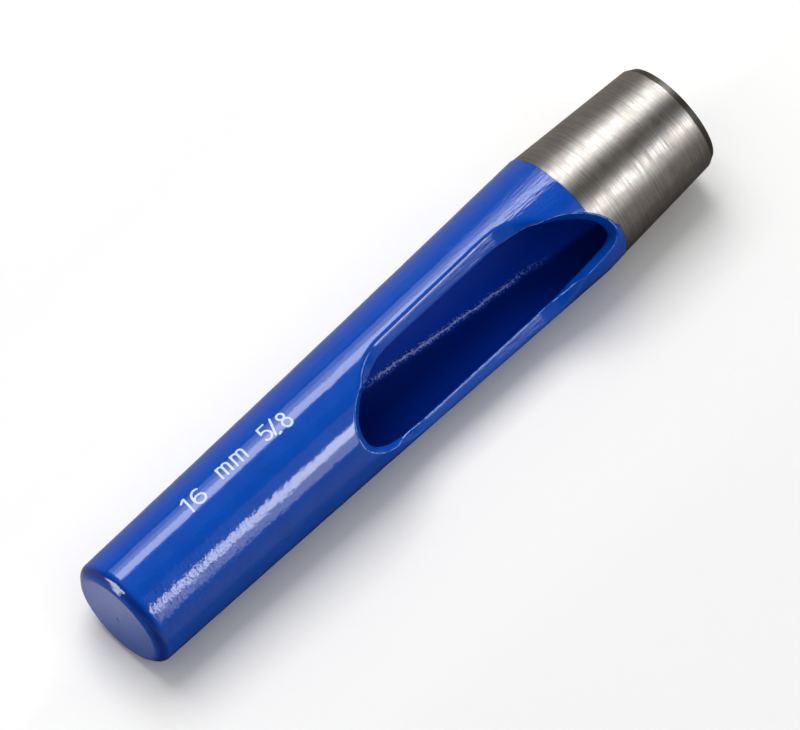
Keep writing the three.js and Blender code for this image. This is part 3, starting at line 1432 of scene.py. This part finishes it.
@dataclass
class EffectGroups:
    """The effects that more than one finish uses, each made once as a node group."""

    made: dict = field(default_factory=dict)
    smudge: Marks = Marks(1.0, 4.0, 0.6)
    smudge_shares: tuple = (0.38, 0.66)
    scratched: Marks = Marks(330.0)
    scratched_shares: tuple = (0.5, 0.62)
    scratch_shares: tuple = (0.012, 0.0)
    scratch_lines: tuple = (
        Marks(5200.0, 1.0, stretch=(0.05, 1.0, 1.0), turn_degrees=(0.0, 0.0, 22.0)),
        Marks(6400.0, 1.0, stretch=(0.05, 1.0, 1.0), turn_degrees=(31.0, 0.0, -48.0)),
    )
    pit_free_share: float = 0.72

    def tree(self, name: str, inputs: dict, outputs: tuple) -> tuple:
        """Starts a group with its sockets.

        Args:
            name: The group's name.
            inputs: Each input's name and plain value.
            outputs: The outputs' names.

        Returns:
            The tree, its nodes, and the sockets inside it for its inputs and outputs.
        """
        tree = bpy.data.node_groups.new(name, "ShaderNodeTree")
        kind = "NodeSocketFloat"
        for label, value in inputs.items():
            socket = tree.interface.new_socket(name=label, in_out="INPUT", socket_type=kind)
            socket.default_value = value
        for label in outputs:
            tree.interface.new_socket(name=label, in_out="OUTPUT", socket_type=kind)
        nodes = Nodes(tree)
        inside = nodes.add("NodeGroupInput").outputs
        outside = nodes.add("NodeGroupOutput").inputs
        return tree, nodes, inside, outside

    def round_axis(self) -> bpy.types.NodeTree:
        """Where a point lies along the tool, round its axis and out from it.

        Returns:
            The group.
        """
        tree, nodes, _, outside = self.tree("round_axis", {}, ("Along", "Turn", "Radius"))
        along, left, up = nodes.axes()
        square = nodes.math("ADD", nodes.times(left, left), nodes.times(up, up))
        nodes.feed(outside["Along"], along)
        nodes.feed(outside["Turn"], nodes.math("ARCTAN2", left, up))
        nodes.feed(outside["Radius"], nodes.math("SQRT", square))
        return tree

    def smudges(self) -> bpy.types.NodeTree:
        """Soft uneven patches, from handling and from the finish itself.

        Returns:
            The group.
        """
        tree, nodes, inside, outside = self.tree("smudges", {"Scale": 200.0}, ("Mask",))
        wide = nodes.noise(self.smudge, inside["Scale"])
        nodes.feed(outside["Mask"], nodes.remap(wide, *self.smudge_shares))
        return tree

    def scratches(self) -> bpy.types.NodeTree:
        """Fine scratches in two directions, each only here and there.

        Returns:
            The group.
        """
        tree, nodes, inside, outside = self.tree("scratches", {"Amount": 0.5}, ("Mask",))
        patches = nodes.remap(nodes.noise(self.scratched), *self.scratched_shares)
        lines = []
        for marks in self.scratch_lines:
            ridge = nodes.math("ABSOLUTE", nodes.math("SUBTRACT", nodes.noise(marks), 0.5))
            lines.append(nodes.remap(ridge, *self.scratch_shares))
        both = nodes.math("MAXIMUM", *lines)
        nodes.feed(outside["Mask"], nodes.times(both, patches, inside["Amount"]))
        return tree

    def pits(self) -> bpy.types.NodeTree:
        """Sparse small spots: pits in the steel, nibs of dust in the enamel.

        Returns:
            The group.
        """
        inputs = {"Scale": 700.0, "Width": 0.16}
        tree, nodes, inside, outside = self.tree("pits", inputs, ("Mask",))
        cells = nodes.add("ShaderNodeTexVoronoi")
        nodes.fill(cells, {"Vector": nodes.place(), "Scale": inside["Scale"]})
        spot = nodes.math("DIVIDE", cells.outputs["Distance"], inside["Width"])
        spot = nodes.math("SUBTRACT", 1.0, spot, clamp=True)
        pick = nodes.add("ShaderNodeSeparateColor")
        nodes.feed(pick.inputs[0], cells.outputs["Color"])
        kept = nodes.math("GREATER_THAN", pick.outputs[0], self.pit_free_share)
        nodes.feed(outside["Mask"], nodes.times(spot, kept))
        return tree

    def use(self, nodes: Nodes, name: str, **values: float) -> bpy.types.NodeOutputs:
        """Puts a group into a material, and makes it on its first use.

        Args:
            nodes: The material's nodes.
            name: The group's name, which is also its method's name.
            **values: Plain values for its inputs.

        Returns:
            The group's outputs.
        """
        if name not in self.made:
            self.made[name] = getattr(self, name)()
        node = nodes.add("ShaderNodeGroup", node_tree=self.made[name])
        nodes.fill(node, values)
        return node.outputs


@dataclass(frozen=True)
class Finish:
    """What every finish has: the shared effects, a name and one Principled shader."""

    effects: EffectGroups
    name: str

    def build(self) -> bpy.types.Material:
        """Makes the material.

        Returns:
            The material.
        """
        material = bpy.data.materials.new(self.name)
        material.use_nodes = True
        shader = material.node_tree.nodes["Principled BSDF"]
        nodes = Nodes(material.node_tree)
        nodes.fill(shader, self.inputs(nodes))
        return material

    def mask(self, nodes: Nodes, effect: str, **values: float) -> Socket:
        """The mask of one of the shared effects."""
        return self.effects.use(nodes, effect, **values)["Mask"]

    def stored(self, nodes: Nodes, name: str) -> Socket:
        """A value that is stored on the piece's points."""
        return nodes.add("ShaderNodeAttribute", attribute_name=name).outputs["Fac"]


@dataclass(frozen=True)
class EnamelPlaces:
    """Where on the enamel a point lies, as places and masks that its looks share."""

    along: Socket
    turn: Socket
    in_bore: Socket
    run: Socket
    below_run: Socket
    specks: Socket


@dataclass(frozen=True)
class EnamelFinish(Finish):
    """Glossy blue enamel, run smooth over a forged surface."""

    name: str = "blue_enamel"
    deep: tuple = (0.0003, 0.052, 0.362, 1.0)
    light: tuple = (0.0007, 0.061, 0.40, 1.0)
    dusty: tuple = (0.003, 0.075, 0.41, 1.0)
    # painted highlight: pale blue along the window's edges, partly rubbed enamel
    pale: tuple = (0.24, 0.42, 0.80, 1.0)
    # painted shade: this darker blue is laid on the bore's wall below the run and on the chamfer
    pooled: tuple = (0.0001, 0.011, 0.13, 1.0)
    walled: tuple = (0.0003, 0.054, 0.53, 1.0)
    # painted highlight: a pale colour laid on the specks and crest of the run
    run_highlight: tuple = (0.50, 0.64, 0.95, 1.0)
    cloud_scale: float = 240.0
    dust_share: float = 0.8
    coat_index: float = 1.5
    coat_roughness: float = 0.095
    coat_scratch_share: float = 0.5
    under_roughness: float = 0.42
    smudge_roughness: float = 0.06
    smudge_scale: float = 420.0
    under_level: float = 0.02
    face_start: float = 0.0002
    face_end: float = 0.0005
    chamfer_full: float = 0.0009
    chamfer_end: float = 0.0014
    chamfer_share: float = 0.7
    # Dashes and levels of the pale rim, which is partly rubbed enamel and partly a painted
    # highlight.
    wear_and_highlight_patches: Marks = Marks(1300.0, 3.0)
    wear_and_highlight_patch_shares: tuple = (0.38, 0.58)
    wear_and_highlight_shares: tuple = (0.15, 0.75, 0.0, 0.85)
    bore_from: float = 0.0035
    bore_start: float = 0.00812
    bore_full: float = 0.00796
    window_lean_degrees: float = 48.0
    land_height: float = 0.0046
    land_fade: float = 0.0003
    run_start: float = 0.0503
    run_end: float = 0.0807
    run_rise: float = 0.003
    run_last: float = 0.002
    run_fall: float = 0.006
    run_from: float = 0.00275
    run_slope: float = -0.119
    run_half: float = 0.00060
    run_sway: float = 0.0012
    run_wander: Marks = Marks(240.0, stretch=(1.0, 0.0, 0.0))
    run_specks: Marks = Marks(3600.0, 3.0)
    speck_shares: tuple = (0.50, 0.66)
    crest_shares: tuple = (0.70, 1.0, 0.0, 0.75)
    speck_gloss_share: float = 0.9
    shade_width: float = 0.0009
    shade_share: float = 0.8
    hammered_start: float = 0.006
    hammered_end: float = 0.042
    hammered_shares: tuple = (0.10, 0.90)
    hammered_turns: tuple = (0.10, -0.50)
    hammered_turn_shares: tuple = (0.10, 1.0)
    scales: Marks = Marks(2500.0, 2.0, 0.5, 0.000085, (1.0, 0.5, 0.5), (0.0, 0.0, 14.0))
    dents: Marks = Marks(800.0, 1.0, 0.5, 0.000024, (1.0, 0.7, 0.7))
    brushed_start: float = 0.060
    brushed_full: float = 0.076
    brushed_shares: tuple = (0.05, 1.0)
    fibres: Marks = Marks(3100.0, 2.0, 0.5, 0.000045, (0.16, 1.0, 1.0), (0.0, 0.0, 12.0))
    peel: Marks = Marks(2600.0, 2.0, 0.5, 0.0000060)
    coarse: Marks = Marks(1900.0, 4.0, 0.6, 0.00010)
    coarse_share: float = 0.5
    coarse_run_share: float = 2.0
    nib_scale: float = 620.0
    nib_share: float = 0.11
    nib_depth: float = 0.00002

    def bore_mask(self, nodes: Nodes, along: Socket, radius: Socket) -> Socket:
        """A mask of the bore's wall, which lies under the land and close to the axis.

        Args:
            nodes: The material's nodes.
            along: The place along the tool.
            radius: The distance from the axis.

        Returns:
            The mask.
        """
        lean = math.radians(self.window_lean_degrees)
        outward = nodes.add("ShaderNodeVectorMath", operation="DOT_PRODUCT")
        nodes.feed(outward.inputs[0], nodes.place())
        nodes.feed(outward.inputs[1], (0.0, -math.sin(lean), math.cos(lean)))
        height = outward.outputs["Value"]
        low = nodes.remap(height, self.land_height, self.land_height - self.land_fade)
        near = nodes.remap(radius, self.bore_start, self.bore_full)
        return nodes.times(low, near, nodes.math("GREATER_THAN", along, self.bore_from))

    def run_masks(self, nodes: Nodes) -> tuple:
        """A rough run of enamel that slants along the bottom of the bore.

        Args:
            nodes: The material's nodes.

        Returns:
            A mask of the run, and a mask of painted shade on the wall below it.
        """
        along, left, up = nodes.axes()
        wander = nodes.noise(self.run_wander)
        beyond = nodes.math("SUBTRACT", along, self.run_start)
        centre = nodes.math("MULTIPLY_ADD", beyond, self.run_slope, self.run_from)
        centre = nodes.math("MULTIPLY_ADD", wander, self.run_sway, centre)
        beside = nodes.math("SUBTRACT", left, centre)
        ridge = nodes.remap(nodes.math("ABSOLUTE", beside), self.run_half, 0.0)
        # painted shade: darkens the bore's wall below the run
        lower = nodes.remap(beside, 0.0, -self.shade_width, 0.0, self.shade_share)
        below = nodes.math("LESS_THAN", up, 0.0)
        rise = (self.run_start - self.run_rise, self.run_start + self.run_rise)
        fall = (self.run_end + self.run_last, self.run_end - self.run_fall)
        ends = nodes.times(nodes.remap(along, *rise), nodes.remap(along, *fall))
        return nodes.times(ridge, below, ends), lower

    def places(self, nodes: Nodes) -> EnamelPlaces:
        """Works out the places and masks.

        Args:
            nodes: The material's nodes.

        Returns:
            All of them.
        """
        along, turn, radius = self.effects.use(nodes, "round_axis")
        run, below_run = self.run_masks(nodes)
        return EnamelPlaces(
            along=along,
            turn=turn,
            in_bore=self.bore_mask(nodes, along, radius),
            run=run,
            below_run=below_run,
            specks=nodes.remap(nodes.noise(self.run_specks), *self.speck_shares),
        )

    def colour(self, nodes: Nodes, at: EnamelPlaces) -> Socket:
        """Deep and lighter clouds, pale along the window's edges from rubbed enamel and a painted
        highlight, painted highlights on the run, and painted shade below the run and on the chamfer.

        Args:
            nodes: The material's nodes.
            at: The places and masks.

        Returns:
            The colour.
        """
        # painted highlight: pale specks and a pale core along the run stand in for light glinting on
        # it
        painted_crest = nodes.remap(at.run, *self.crest_shares)
        specks = nodes.math("MULTIPLY_ADD", at.specks, at.run, painted_crest, clamp=True)
        # painted shade: the chamfer is darkened with the darker blue
        chamfer = nodes.times(
            nodes.remap(at.along, self.face_start, self.face_end, 0.0, self.chamfer_share),
            nodes.remap(at.along, self.chamfer_end, self.chamfer_full),
        )
        # painted highlight: a pale rim along the window's edges, broken into dashes, partly rubbed
        # enamel
        patchy = nodes.remap(nodes.noise(self.wear_and_highlight_patches), *self.wear_and_highlight_patch_shares)
        rubbed_and_lit = nodes.remap(self.stored(nodes, "edge_wear_and_highlight"), *self.wear_and_highlight_shares)
        return nodes.layered(
            self.deep,
            (self.mask(nodes, "smudges", Scale=self.cloud_scale), self.light),
            (self.mask(nodes, "scratches", Amount=self.dust_share), self.dusty),
            (at.in_bore, self.walled),
            # painted shade below the run
            (nodes.times(at.in_bore, at.below_run), self.pooled),
            # painted highlight on the run
            (nodes.times(specks, at.in_bore), self.run_highlight),
            # painted shade on the chamfer
            (chamfer, self.pooled),
            # painted highlight, partly rubbed enamel, along the window's edges
            (nodes.times(rubbed_and_lit, patchy), self.pale),
        )

    def gloss(self, nodes: Nodes, at: EnamelPlaces) -> Socket:
        """How much clear gloss there is: full outside, and hardly any in the bore.

        Args:
            nodes: The material's nodes.
            at: The places and masks.

        Returns:
            The coat's weight.
        """
        shown = nodes.times(at.run, at.specks, self.speck_gloss_share)
        dull = nodes.times(at.in_bore, nodes.math("SUBTRACT", 1.0, shown))
        scratched = self.mask(nodes, "scratches", Amount=self.coat_scratch_share)
        scratched = nodes.times(scratched, self.coat_scratch_share)
        weight = nodes.math("SUBTRACT", 1.0, dull)
        return nodes.math("SUBTRACT", weight, scratched, clamp=True)

    def relief(self, nodes: Nodes, at: EnamelPlaces) -> Socket:
        """The bumps that the enamel follows: hammer scales, brush marks, orange peel and nibs.

        Args:
            nodes: The material's nodes.
            at: The places and masks.

        Returns:
            The normal.
        """
        start, end = self.hammered_start, self.hammered_end
        near_end = nodes.remap(at.along, end, start, *self.hammered_shares)
        lower = nodes.remap(at.turn, *self.hammered_turns, *self.hammered_turn_shares)
        hammered = nodes.times(near_end, lower)
        brush = (self.brushed_start, self.brushed_full)
        brushed = nodes.remap(at.along, *brush, *self.brushed_shares)
        rougher = nodes.math("MULTIPLY_ADD", at.run, self.coarse_run_share, self.coarse_share)
        coarse = nodes.times(nodes.noise(self.coarse), at.in_bore, rougher)
        nibs = self.mask(nodes, "pits", Scale=self.nib_scale, Width=self.nib_share)
        return nodes.bumps(
            (nodes.times(nodes.noise(self.scales), hammered), self.scales.depth),
            (nodes.times(nodes.noise(self.dents), hammered), self.dents.depth),
            (nodes.times(nodes.noise(self.fibres), brushed), self.fibres.depth),
            (nodes.noise(self.peel), self.peel.depth),
            (coarse, self.coarse.depth),
            (nibs, self.nib_depth),
        )

    def inputs(self, nodes: Nodes) -> dict:
        """What goes into the shader.

        Args:
            nodes: The material's nodes.

        Returns:
            A socket or a plain value for each input.
        """
        at = self.places(nodes)
        smudged = self.mask(nodes, "smudges", Scale=self.smudge_scale)
        normal = self.relief(nodes, at)
        return {
            "Base Color": self.colour(nodes, at),
            "Roughness": nodes.math(
                "MULTIPLY_ADD", smudged, self.smudge_roughness, self.under_roughness
            ),
            "Specular IOR Level": self.under_level,
            "Coat Weight": self.gloss(nodes, at),
            "Coat Roughness": self.coat_roughness,
            "Coat IOR": self.coat_index,
            "Normal": normal,
            "Coat Normal": normal,
        }


@dataclass(frozen=True)
class GroundSteelFinish(Finish):
    """Bright steel with fine lines from the grinding wheel round its axis."""

    name: str = "ground_steel"
    bright: tuple = (0.44, 0.422, 0.40, 1.0)
    dull: tuple = (0.27, 0.248, 0.225, 1.0)
    bevel: tuple = (0.11, 0.10, 0.085, 1.0)
    # painted shade: a dark line on the steel next to the enamel's step
    step_shade: tuple = (0.06, 0.05, 0.045, 1.0)
    cloud_scale: float = 300.0
    cloud_share: float = 0.30
    cloud_roughness: float = 0.04
    fine: Marks = Marks(9000.0, 2.0, 0.5, 0.0000040, (1.0, 0.035, 0.035))
    fine_shares: tuple = (0.40, 0.60, 0.0, 0.35)
    broad: Marks = Marks(2600.0, 2.0, 0.5, 0.0000100, (1.0, 0.035, 0.035))
    broad_shares: tuple = (0.35, 0.7, 0.0, 0.40)
    bevel_start: float = 0.1049
    bevel_fade: float = 0.00012
    step_shade_width: float = 0.00016
    least_roughness: float = 0.18
    fine_roughness: float = 0.5
    anisotropy_share: float = 0.65
    anisotropy_turn_share: float = 0.25
    scratch_share: float = 0.5
    scratch_depth: float = 0.0000030
    pit_scale: float = 900.0
    pit_share: float = 0.10
    pit_depth: float = 0.0000060

    def colour(self, nodes: Nodes, fine: Socket, broad: Socket, clouds: Socket) -> Socket:
        """Brighter and duller lines, a dark bevel and a thin painted shade along the enamel's edge.

        Args:
            nodes: The material's nodes.
            fine: The fine lines.
            broad: The broad lines.
            clouds: Soft patches.

        Returns:
            The colour.
        """
        along = self.effects.use(nodes, "round_axis")["Along"]
        lines = nodes.remap(broad, *self.broad_shares)
        share = nodes.math("MULTIPLY_ADD", clouds, self.cloud_share, lines)
        share = nodes.math("ADD", share, nodes.remap(fine, *self.fine_shares), clamp=True)
        past = nodes.remap(along, self.bevel_start, self.bevel_start + self.bevel_fade)
        # painted shade: darkens the steel right beside the enamel's edge
        step_shaded = nodes.remap(self.stored(nodes, "bare_level"), self.step_shade_width, 0.0)
        return nodes.layered(
            self.bright, (share, self.dull), (past, self.bevel), (step_shaded, self.step_shade)
        )

    def inputs(self, nodes: Nodes) -> dict:
        """What goes into the shader.

        Args:
            nodes: The material's nodes.

        Returns:
            A socket or a plain value for each input.
        """
        fine, broad = nodes.noise(self.fine), nodes.noise(self.broad)
        clouds = self.mask(nodes, "smudges", Scale=self.cloud_scale)
        rough = nodes.math("MULTIPLY_ADD", fine, self.fine_roughness, self.least_roughness)
        scratched = self.mask(nodes, "scratches", Amount=self.scratch_share)
        pits = self.mask(nodes, "pits", Scale=self.pit_scale, Width=self.pit_share)
        tangents = nodes.add("ShaderNodeTangent", direction_type="RADIAL", axis="X")
        return {
            "Base Color": self.colour(nodes, fine, broad, clouds),
            "Metallic": 1.0,
            "Roughness": nodes.math("MULTIPLY_ADD", clouds, self.cloud_roughness, rough),
            "Anisotropic": self.anisotropy_share,
            "Anisotropic Rotation": self.anisotropy_turn_share,
            "Tangent": tangents.outputs[0],
            "Normal": nodes.bumps(
                (fine, self.fine.depth),
                (broad, self.broad.depth),
                (scratched, self.scratch_depth),
                (nodes.math("SUBTRACT", 1.0, pits), self.pit_depth),
            ),
        }


@dataclass(frozen=True)
class InkFinish(Finish):
    """White printing ink, a little uneven."""

    name: str = "white_ink"
    white: tuple = (0.57, 0.65, 0.80, 1.0)
    thin: tuple = (0.36, 0.47, 0.74, 1.0)
    thin_scale: float = 1900.0
    thin_share: float = 0.45
    least_roughness: float = 0.35
    thin_roughness: float = 0.1
    level: float = 0.25
    pit_scale: float = 3800.0
    pit_share: float = 0.3
    pit_depth: float = 0.000004

    def inputs(self, nodes: Nodes) -> dict:
        """What goes into the shader.

        Args:
            nodes: The material's nodes.

        Returns:
            A socket or a plain value for each input.
        """
        thin = self.mask(nodes, "smudges", Scale=self.thin_scale)
        pits = self.mask(nodes, "pits", Scale=self.pit_scale, Width=self.pit_share)
        rough = nodes.math("MULTIPLY_ADD", thin, self.thin_roughness, self.least_roughness)
        return {
            "Base Color": nodes.layered(self.white, (nodes.times(thin, self.thin_share), self.thin)),
            "Roughness": rough,
            "Specular IOR Level": self.level,
            "Normal": nodes.bumps((pits, self.pit_depth)),
        }


@dataclass(frozen=True)
class FloorFinish(Finish):
    """Plain pale paper with a faint grain, painted shade on the near side, painted light beside the
    tool on the far side, and a painted darker reflection in shiny surfaces.
    """

    name: str = "pale_paper"
    base: tuple = (0.832, 0.829, 0.825, 1.0)
    grey: tuple = (0.822, 0.818, 0.815, 1.0)
    cloud_scale: float = 9.0
    cloud_share: float = 0.5
    shaded: tuple = (0.782, 0.777, 0.777, 1.0)
    shade_from: float = -0.008
    shade_full: float = -0.040
    # painted light: a brighter paper beside the tool's far side, over the shadow that falls there
    painted_light_behind: tuple = (0.90, 0.893, 0.882, 1.0)
    behind_from: float = 0.045
    behind_full: float = 0.014
    behind_near: float = 0.006
    # painted reflection: darker paper, a painted shadow under the tool and painted light before the
    # face, seen only in shiny surfaces
    reflected: tuple = (0.27, 0.245, 0.225, 1.0)
    before_face: tuple = (0.68, 0.68, 0.74, 1.0)
    spot_centre: tuple = (-0.007, 0.005, 0.0)
    spot_core: float = 0.003
    spot_reach: float = 0.014
    flattened: tuple = (1.0, 1.0, 0.0)
    at_head_from: float = 0.084
    at_head_full: float = 0.094
    at_head_share: float = 0.35
    painted_contact_shadow: tuple = (0.03, 0.03, 0.04, 1.0)
    contact_from: float = -0.021
    contact_end: float = -0.034
    contact_behind: float = 0.008
    grain: Marks = Marks(900.0, 3.0, 0.5, 0.00003)
    least_roughness: float = 0.85
    grain_roughness: float = 0.1
    level: float = 0.1

    def mirrored(self, nodes: Nodes, along: Socket, left: Socket) -> Socket:
        """Painted reflection: the paper's colour in shiny surfaces, with a painted shadow under the
        tool and painted light before its face.

        Args:
            nodes: The material's nodes.
            along: The place along the tool.
            left: The place across it.

        Returns:
            The colour.
        """
        beyond = nodes.remap(left, self.contact_from, self.contact_end)
        other_side = nodes.remap(left, 0.0, self.contact_behind)
        head = (self.at_head_from, self.at_head_full)
        at_head = nodes.remap(along, *head, 0.0, self.at_head_share)
        open_floor = nodes.math("MAXIMUM", nodes.math("MAXIMUM", beyond, other_side), at_head)
        spot = nodes.add("ShaderNodeVectorMath", operation="DISTANCE")
        nodes.feed(spot.inputs[0], nodes.place(self.flattened))
        nodes.feed(spot.inputs[1], self.spot_centre)
        at_face = nodes.remap(spot.outputs["Value"], self.spot_reach, self.spot_core)
        # painted reflection: painted shadow under the tool, darker paper elsewhere, painted light
        # before the face
        return nodes.layered(
            self.painted_contact_shadow, (open_floor, self.reflected), (at_face, self.before_face)
        )

    def inputs(self, nodes: Nodes) -> dict:
        """What goes into the shader.

        Args:
            nodes: The material's nodes.

        Returns:
            A socket or a plain value for each input.
        """
        along, left, _ = nodes.axes()
        clouds = self.mask(nodes, "smudges", Scale=self.cloud_scale)
        # painted light: brightens the paper beside the tool's far side
        painted_light_behind = nodes.times(
            nodes.remap(left, self.behind_from, self.behind_full),
            nodes.remap(left, 0.0, self.behind_near),
        )
        seen_in_gloss = nodes.add("ShaderNodeLightPath").outputs["Is Glossy Ray"]
        grain = nodes.noise(self.grain)
        rough = nodes.math("MULTIPLY_ADD", grain, self.grain_roughness, self.least_roughness)
        return {
            "Base Color": nodes.layered(
                self.base,
                (nodes.times(clouds, self.cloud_share), self.grey),
                (nodes.remap(left, self.shade_from, self.shade_full), self.shaded),
                (painted_light_behind, self.painted_light_behind),
                (seen_in_gloss, self.mirrored(nodes, along, left)),
            ),
            "Roughness": rough,
            "Specular IOR Level": self.level,
            "Normal": nodes.bumps((grain, self.grain.depth)),
        }


@dataclass(frozen=True)
class View:
    """The camera, which looks down on the tool from a distance through a long lens."""

    distance: float = 2.5
    lens: float = 835.1
    sensor: float = 36.0
    frame_width: int = 800
    frame_height: int = 730
    aim: float = 0.053
    aim_across: float = 396.3
    aim_down: float = 365.5
    tilt_degrees: float = 17.9
    slope_degrees: float = 42.434
    roll_degrees: float = 18.6
    clip_near: float = 0.05
    clip_far: float = 20.0

    def axes(self) -> tuple:
        """The view's directions in the object's frame.

        Returns:
            Towards the right of the picture, down it, and towards the camera.
        """
        tilt = math.radians(self.tilt_degrees)
        slope = math.radians(self.slope_degrees)
        roll = math.radians(self.roll_degrees)
        along = Vector((1.0, 0.0, 0.0))
        near = Vector((0.0, -math.sin(roll), math.cos(roll)))
        beside = Vector((0.0, -math.cos(roll), -math.sin(roll)))
        level = math.cos(tilt) * along + math.sin(tilt) * near
        towards = -math.sin(tilt) * along + math.cos(tilt) * near
        right = math.cos(slope) * level + math.sin(slope) * beside
        down = -math.sin(slope) * level + math.cos(slope) * beside
        return right, down, towards

    def build(self) -> bpy.types.Object:
        """Sets up the camera.

        Returns:
            The camera.
        """
        right, down, towards = self.axes()
        pixel = self.distance * self.sensor / (self.lens * self.frame_width)
        across = (self.aim_across - self.frame_width / 2) * pixel
        lower = (self.aim_down - self.frame_height / 2) * pixel
        eye = Vector((self.aim, 0.0, 0.0)) + self.distance * towards
        data = bpy.data.cameras.new("camera")
        data.lens = self.lens
        data.sensor_width = self.sensor
        data.clip_start = self.clip_near
        data.clip_end = self.clip_far
        camera = in_scene("camera", data)
        camera.matrix_world = stance(eye - across * right - lower * down, right, -down, towards)
        bpy.context.scene.camera = camera
        return camera


@dataclass(frozen=True)
class Lamp:
    """One soft lamp of the studio: where it hangs, its size, and how bright its face is."""

    name: str
    towards: tuple
    width: float
    height: float
    radiance: float
    use: LampUse = LampUse.SHEEN
    distance: float = 1.2

    def build(self, target: Vector) -> bpy.types.Object:
        """Hangs the lamp.

        Args:
            target: The point that it faces.

        Returns:
            The lamp.
        """
        data = bpy.data.lights.new(self.name, "AREA")
        data.shape = "RECTANGLE"
        data.size = self.width
        data.size_y = self.height
        data.energy = math.pi * self.radiance * self.width * self.height
        lamp = in_scene(self.name, data)
        lamp.visible_glossy = self.use is LampUse.SHEEN
        lamp.visible_diffuse = self.use is LampUse.LIGHT
        outward = Vector(self.towards).normalized()
        along = Vector((1.0, 0.0, 0.0))
        across = (along - along.dot(outward) * outward).normalized()
        place = target + self.distance * outward
        lamp.matrix_world = stance(place, across, outward.cross(across), outward)
        return lamp


@dataclass
class Studio:
    """The pale sheet that the tool lies on, and the soft light round it."""

    effects: EffectGroups
    sky: tuple = (1.0, 1.0, 1.0, 1.0)
    sky_strength: float = 0.02
    target: tuple = (0.053, 0.0, 0.0)
    sheet_half: float = 3.0
    rest_near_x: float = 0.0011
    rest_near: float = 0.0084
    rest_far_x: float = 0.0844
    rest_far: float = 0.00998
    lamps: tuple = (
        Lamp("roof_light", (0.10, 0.38, 0.92), 0.75, 0.75, 5.8, LampUse.LIGHT),
        Lamp("fill_light", (0.0, 0.15, 0.99), 3.0, 3.0, 0.80, LampUse.LIGHT),
        Lamp("front_light", (0.25, -0.86, 0.42), 0.8, 0.6, 1.9, LampUse.LIGHT),
        Lamp("upper_wide_sheen", (0.29, 0.718, 0.626), 0.45, 0.71, 1.4),
        Lamp("upper_sheen", (0.29, 0.666, 0.680), 0.45, 0.51, 1.6),
        Lamp("upper_core_sheen", (0.29, 0.617, 0.725), 0.45, 0.30, 4.8),
        Lamp("front_sheen", (0.29, -0.725, 0.617), 0.45, 0.327, 11.5),
        Lamp("low_sheen", (0.29, -0.874, 0.378), 0.45, 0.36, 3.0),
        Lamp("veil_sheen", (0.29, -0.470, 0.828), 0.40, 0.466, 0.40),
        Lamp("head_upper_sheen", (0.72, 0.392, 0.573), 0.45, 0.34, 19.0),
        Lamp("head_front_sheen", (0.72, -0.505, 0.475), 0.35, 0.25, 6.0),
        Lamp("far_card", (0.2, 0.97, 0.14), 1.4, 0.42, 0.22),
        Lamp("near_card", (0.2, -0.97, 0.14), 1.4, 0.42, 0.22),
        Lamp("end_sheen", (-0.877, 0.484, 0.16), 0.50, 0.75, 10.0),
    )

    def sheet(self) -> bpy.types.Object:
        """Lays the sheet against the tool's lowest line.

        Returns:
            The sheet.
        """
        fall = -(self.rest_far - self.rest_near) / (self.rest_far_x - self.rest_near_x)
        level = -self.rest_near - fall * self.rest_near_x
        half = self.sheet_half
        corners = [(-half, -half), (half, -half), (half, half), (-half, half)]
        mesh = bpy.data.meshes.new("sheet")
        mesh.from_pydata([(x, y, level + fall * x) for x, y in corners], [], [[0, 1, 2, 3]])
        sheet = in_scene("sheet", mesh)
        sheet.data.materials.append(FloorFinish(effects=self.effects).build())
        return sheet

    def build(self) -> None:
        """Sets up the sheet, the sky and the lamps."""
        self.sheet()
        world = bpy.data.worlds.new("sky")
        world.use_nodes = True
        shader = world.node_tree.nodes["Background"]
        shader.inputs["Color"].default_value = self.sky
        shader.inputs["Strength"].default_value = self.sky_strength
        bpy.context.scene.world = world
        bpy.context.scene.view_settings.view_transform = "Standard"
        for lamp in self.lamps:
            lamp.build(Vector(self.target))


def main() -> None:
    """Builds the punch, its finishes and the studio in order."""
    logging.basicConfig(level=logging.INFO, format="%(name)s: %(message)s")
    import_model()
    effects = EffectGroups()
    forging = Forging()
    skin = forging.parted()
    steel = forging.steel(skin)
    steel.data.materials.append(GroundSteelFinish(effects=effects).build())
    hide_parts("punch_body")
    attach(steel, BODY)
    LOG.info("steel forging: %d points", len(steel.data.vertices))
    film = forging.enamel(skin)
    film.data.materials.append(EnamelFinish(effects=effects).build())
    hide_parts("enamel_coat")
    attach(film, BODY)
    LOG.info("enamel film: %d points", len(film.data.vertices))
    mark = forging.piece("size_mark", *SizeMark().mesh())
    mark.data.materials.append(InkFinish(effects=effects).build())
    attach(mark, BODY)
    LOG.info("size mark: %d points", len(mark.data.vertices))
    Studio(effects).build()
    LOG.info("studio: sheet, sky and lamps")
    View().build()


if __name__ == "__main__":
    main()
